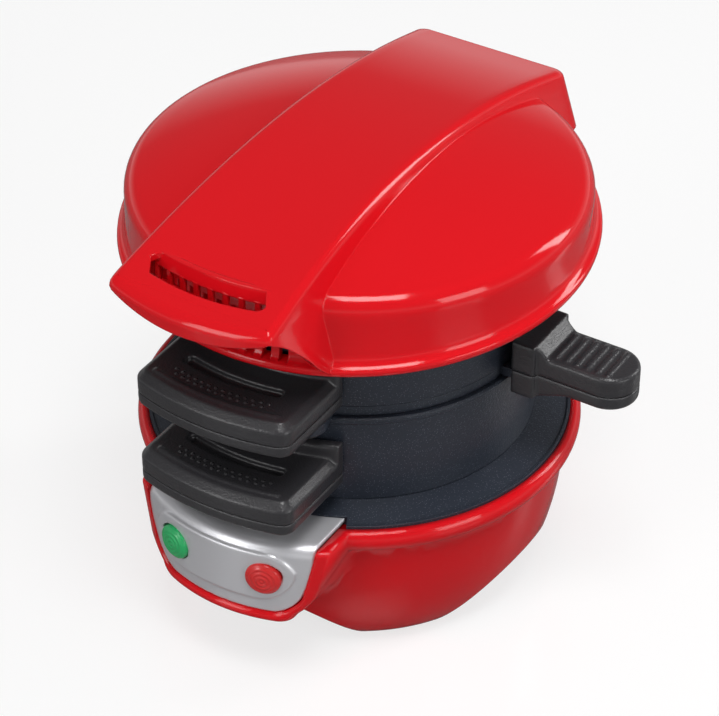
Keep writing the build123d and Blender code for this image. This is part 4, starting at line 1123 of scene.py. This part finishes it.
@dataclass
class PlateGrip:
    """The grip of the swing-out cooking plate: its upper and lower shells, softly rounded."""

    grain: float = 0.45
    upper_passes: int = 8
    lower_passes: int = 9

    def build(self) -> None:
        """Build and dress the grip."""
        upper = moulded("plate_grip_upper_shell", "plate_handle_top", self.grain, self.upper_passes)
        finished(upper, BLACK, "cooking_plate", "plate_handle_top")
        lower = moulded("plate_grip_lower_shell", "plate_handle_base", self.grain, self.lower_passes)
        finished(lower, BLACK, "cooking_plate", "plate_handle_base")


# ------------------------------------------------------------------ front pod and lenses
@dataclass
class FrontPod:
    """The pod at the front of the base: a red frame round a silver panel, narrower at its foot.

    Its width stays at one level and shrinks at a rate per millimetre below it. This fades out between the two
    heights of the foot, and sideways between the full and the still angle, in degrees from the front.
    """

    level: float = 45.0
    highest: float = 49.0
    rate: float = 0.0125
    foot: Flat = (18.0, 31.0)
    full: float = 26.0
    still: float = 47.0
    crease: float = 32.0
    grain: float = 0.36
    passes: int = 6

    def turned(self, turn: float, z: float) -> float:
        """Draw a place on the pod in towards its middle line.

        Args:
            turn: Angle about the ring axis from the front, in radians.
            z: Height in millimetres.

        Returns:
            The new angle, in radians.
        """
        fade = min(max((self.still - abs(math.degrees(turn))) / (self.still - self.full), 0.0), 1.0)
        low = min(max((z - self.foot[0]) / (self.foot[1] - self.foot[0]), 0.0), 1.0)
        height = min(max(z, self.foot[1]), self.highest)
        return turn * (1.0 + self.rate * (height - self.level) * low * fade)

    def drawn_in(self, mesh: bpy.types.Mesh) -> bpy.types.Mesh:
        """Narrow the pod's part of a mesh towards its foot.

        Args:
            mesh: The mesh, which is changed.

        Returns:
            The same mesh, shaded smooth between its sharp edges.
        """
        for vertex in mesh.vertices:
            away = vertex.co - AXIS
            if away.y < 0.0:
                radius = math.hypot(away.x, away.y)
                turn = self.turned(math.atan2(away.x, -away.y), away.z / MM)
                vertex.co.x = AXIS.x + radius * math.sin(turn)
                vertex.co.y = AXIS.y - radius * math.cos(turn)
        shade(mesh, self.crease)
        return mesh

    def build(self) -> None:
        """Build and dress the bowl with its pod, and the panel."""
        bowl = self.drawn_in(merged("base_bowl_and_pod", [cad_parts["base_housing"].data], WELD))
        finished(link(bowl.name, bowl), HOUSING, "base", "base_housing")
        panel = moulded("silver_front_panel", "front_panel", self.grain, self.passes)
        self.drawn_in(panel.data)
        finished(panel, SILVER, "base", "front_panel")


@dataclass
class Lens:
    """A domed indicator lens with rings moulded inside it."""

    name: str
    node: str
    finish: Finish
    side: int
    lens_x: float = 16.7
    radius: float = 5.95
    axis_y: float = -23.0
    face_r: float = 63.5
    middle_z: float = 45.8
    dome: float = 2.1
    ring_pitch: float = 1.5
    ring_depth: float = 0.17
    row_r: float = 63.0
    skirt: float = 3.2
    crown_power: float = 0.7
    sink: float = 0.1
    rows: int = 28
    segments: int = 48
    crease: float = 60.0

    def build(self) -> None:
        """Build and dress the lens."""
        lean = math.asin(self.lens_x / self.row_r)
        out = Vector((self.side * math.sin(lean), -math.cos(lean), 0.0))
        across = Vector((math.cos(lean), self.side * math.sin(lean), 0.0))
        up = Vector((0.0, 0.0, 1.0))
        middle = Vector((0.0, self.axis_y, self.middle_z)) + out * self.face_r
        profile = [(self.radius, -self.skirt)]
        for step in range(self.rows + 1):
            angle = math.pi / 2 * step / self.rows
            radius = self.radius * math.cos(angle)
            ripple = self.ring_depth * math.cos(2 * math.pi * radius / self.ring_pitch) * math.sin(angle)
            profile.append((radius, self.dome * math.sin(angle) ** self.crown_power + ripple - self.sink))
        points = []
        for radius, height in profile:
            for step in range(self.segments):
                angle = 2 * math.pi * step / self.segments
                here = middle + out * height + (across * math.cos(angle) + up * math.sin(angle)) * radius
                points.append(tuple(here))
        faces = strips(len(profile), self.segments, closed=True)
        faces.append(tuple(range(self.segments)))
        lens = link(self.name, make_mesh(self.name, points, faces, self.crease))
        finished(lens, self.finish, "base", self.node)


# which nodes have which finish; all others are zinc-plated screws, pins and clips
FINISHED_NODES: dict[Finish, str] = {
    HOUSING: "base_housing",
    RED: "cover_shell cover_liner vent_grille",
    SILVER: "front_panel",
    GREEN: "preheat_lens",
    RED_LENS: "power_lens",
    COATING: "drip_tray bottom_ring top_ring cooking_plate bottom_heating_plate top_heating_plate",
    BLACK: "bottom_handle_top bottom_handle_base top_handle_top top_handle_base plate_handle_top"
    " plate_handle_base hinge_tower bottom_cover cord_gland",
    BLACK_STEEL: "cover_hinge_bracket swivel_pin",
    RUBBER: "rubber_feet",
    WHITE: "terminal_block",
    BOARD: "lamp_board",
    LAMP: "indicator_lamps",
    STEEL: "bottom_heat_shield top_heat_shield bottom_element top_element thermostat top_thermostat"
    " thermal_fuse",
}


def dress_nodes() -> None:
    """Give each node of the frame the finish of its own piece."""
    finishes = {name: finish for finish, names in FINISHED_NODES.items() for name in names.split()}
    for name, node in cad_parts.items():
        finish = finishes.get(name, ZINC)
        node.data.materials.clear()
        node.data.materials.append(finish.material())
        log.info("%s: %s", name, finish.name)


# ------------------------------------------------------------------ studio
@dataclass(frozen=True)
class SoftBox:
    """A rectangular soft light over the appliance; lengths in metres, power in watts."""

    name: str
    place: Point
    aim_z: float
    size: tuple[float, float]
    power: float

    def hang(self) -> None:
        """Hang the light and point it at its height on the middle of the appliance."""
        data = bpy.data.lights.new(self.name, "AREA")
        data.shape = "RECTANGLE"
        data.size, data.size_y = self.size
        data.energy = self.power
        lamp = link(self.name, data)
        lamp.location = self.place
        back = Vector(self.place) - Vector((0.0, 0.0, self.aim_z))
        lamp.rotation_euler = back.to_track_quat("Z", "Y").to_euler()


@dataclass
class Studio:
    """Floor, lights and the camera; lengths in metres, angles in radians."""

    target: Point = (-0.01185, 0.00445, 0.0848)
    azimuth: float = 0.5572
    elevation: float = 0.6311
    distance: float = 0.9152
    lens: float = 139.26
    shift: float = -0.04316
    clip: tuple[float, float] = (0.05, 20.0)
    floor_half: float = 4.0
    floor_shade: float = 0.27
    floor_roughness: float = 0.22
    floor_glow: float = 0.72
    horizon: float = 0.02
    zenith: float = 0.3
    horizon_level: float = 0.95
    zenith_level: float = 0.22
    lights: tuple[SoftBox, ...] = (
        SoftBox("key", (0.33, -0.4, 1.3), 0.08, (0.5, 0.5), 10.0),
        SoftBox("right_back", (0.95, 1.1, 0.85), 0.12, (0.3, 0.8), 8.0),
        SoftBox("right_fill", (1.5, -0.3, 0.6), 0.1, (0.6, 0.6), 6.0),
        SoftBox("front", (-0.5, -1.5, 0.7), 0.08, (0.5, 0.8), 7.0),
    )

    def camera(self) -> None:
        """Set up the camera."""
        data = bpy.data.cameras.new("camera")
        data.lens = self.lens
        data.shift_y = self.shift
        data.clip_start, data.clip_end = self.clip
        level = math.cos(self.elevation)
        back = Vector(around(level, self.azimuth, math.sin(self.elevation)))
        camera = link("camera", data)
        camera.location = Vector(self.target) + back * self.distance
        camera.rotation_euler = back.to_track_quat("Z", "Y").to_euler()
        bpy.context.scene.camera = camera

    def floor(self) -> None:
        """Lay the pale floor, which glows a little to the camera alone."""
        mesh = bpy.data.meshes.new("floor")
        half = self.floor_half
        corners = [(-half, -half, 0), (half, -half, 0), (half, half, 0), (-half, half, 0)]
        mesh.from_pydata(corners, [], [(0, 1, 2, 3)])
        material = bpy.data.materials.new("pale_floor")
        material.use_nodes = True
        tree = material.node_tree
        pale = {"Base Color": (*(self.floor_shade,) * 3, 1.0), "Roughness": self.floor_roughness}
        shader = feed(tree, tree.nodes["Principled BSDF"], pale)
        seen = add_node(tree, "ShaderNodeLightPath", {}).outputs["Is Camera Ray"]
        strength = add_node(tree, "ShaderNodeMath", {0: seen, 1: self.floor_glow}, operation="MULTIPLY")
        glow = add_node(tree, "ShaderNodeEmission", {"Color": WHITE_LIGHT, "Strength": strength.outputs[0]})
        total = add_node(tree, "ShaderNodeAddShader", {0: shader.outputs[0], 1: glow.outputs[0]})
        feed(tree, tree.nodes["Material Output"], {"Surface": total.outputs[0]})
        mesh.materials.append(material)
        link("floor", mesh)

    def world(self) -> None:
        """Set a soft pale world, brighter near the horizon, that shows white to the camera."""
        world = bpy.data.worlds.new("world")
        bpy.context.scene.world = world
        world.use_nodes = True
        tree = world.node_tree
        way = add_node(tree, "ShaderNodeTexCoord", {}).outputs["Generated"]
        height = add_node(tree, "ShaderNodeSeparateXYZ", {0: way}).outputs["Z"]
        ends = {"From Min": self.horizon, "From Max": self.zenith}
        levels = {"To Min": self.horizon_level, "To Max": self.zenith_level}
        fade = add_node(tree, "ShaderNodeMapRange", {"Value": height, **ends, **levels})
        soft = feed(tree, tree.nodes["Background"], {"Color": WHITE_LIGHT, "Strength": fade.outputs[0]})
        white = add_node(tree, "ShaderNodeBackground", {"Color": WHITE_LIGHT})
        seen = add_node(tree, "ShaderNodeLightPath", {}).outputs["Is Camera Ray"]
        mix = add_node(tree, "ShaderNodeMixShader", {"Fac": seen, 1: soft.outputs[0], 2: white.outputs[0]})
        feed(tree, tree.nodes["World Output"], {"Surface": mix.outputs[0]})

    def build(self) -> None:
        """Set up the whole studio."""
        self.camera()
        self.floor()
        self.world()
        for light in self.lights:
            light.hang()


def main() -> None:
    """Build every piece in order."""
    dress_nodes()
    Cover().build()
    RingHandle("bottom_handle", "bottom_ring", BOTTOM_HANDLE_TOP_Z).build()
    RingHandle("top_handle", "top_ring", TOP_HANDLE_TOP_Z).build()
    PlateGrip().build()
    FrontPod().build()
    Lens("green_ready_lens", "preheat_lens", GREEN, -1).build()
    Lens("red_power_lens", "power_lens", RED_LENS, 1).build()
    Studio().build()


if __name__ == "__main__":
    bpy.context.scene.view_settings.view_transform = "Standard"
    main()
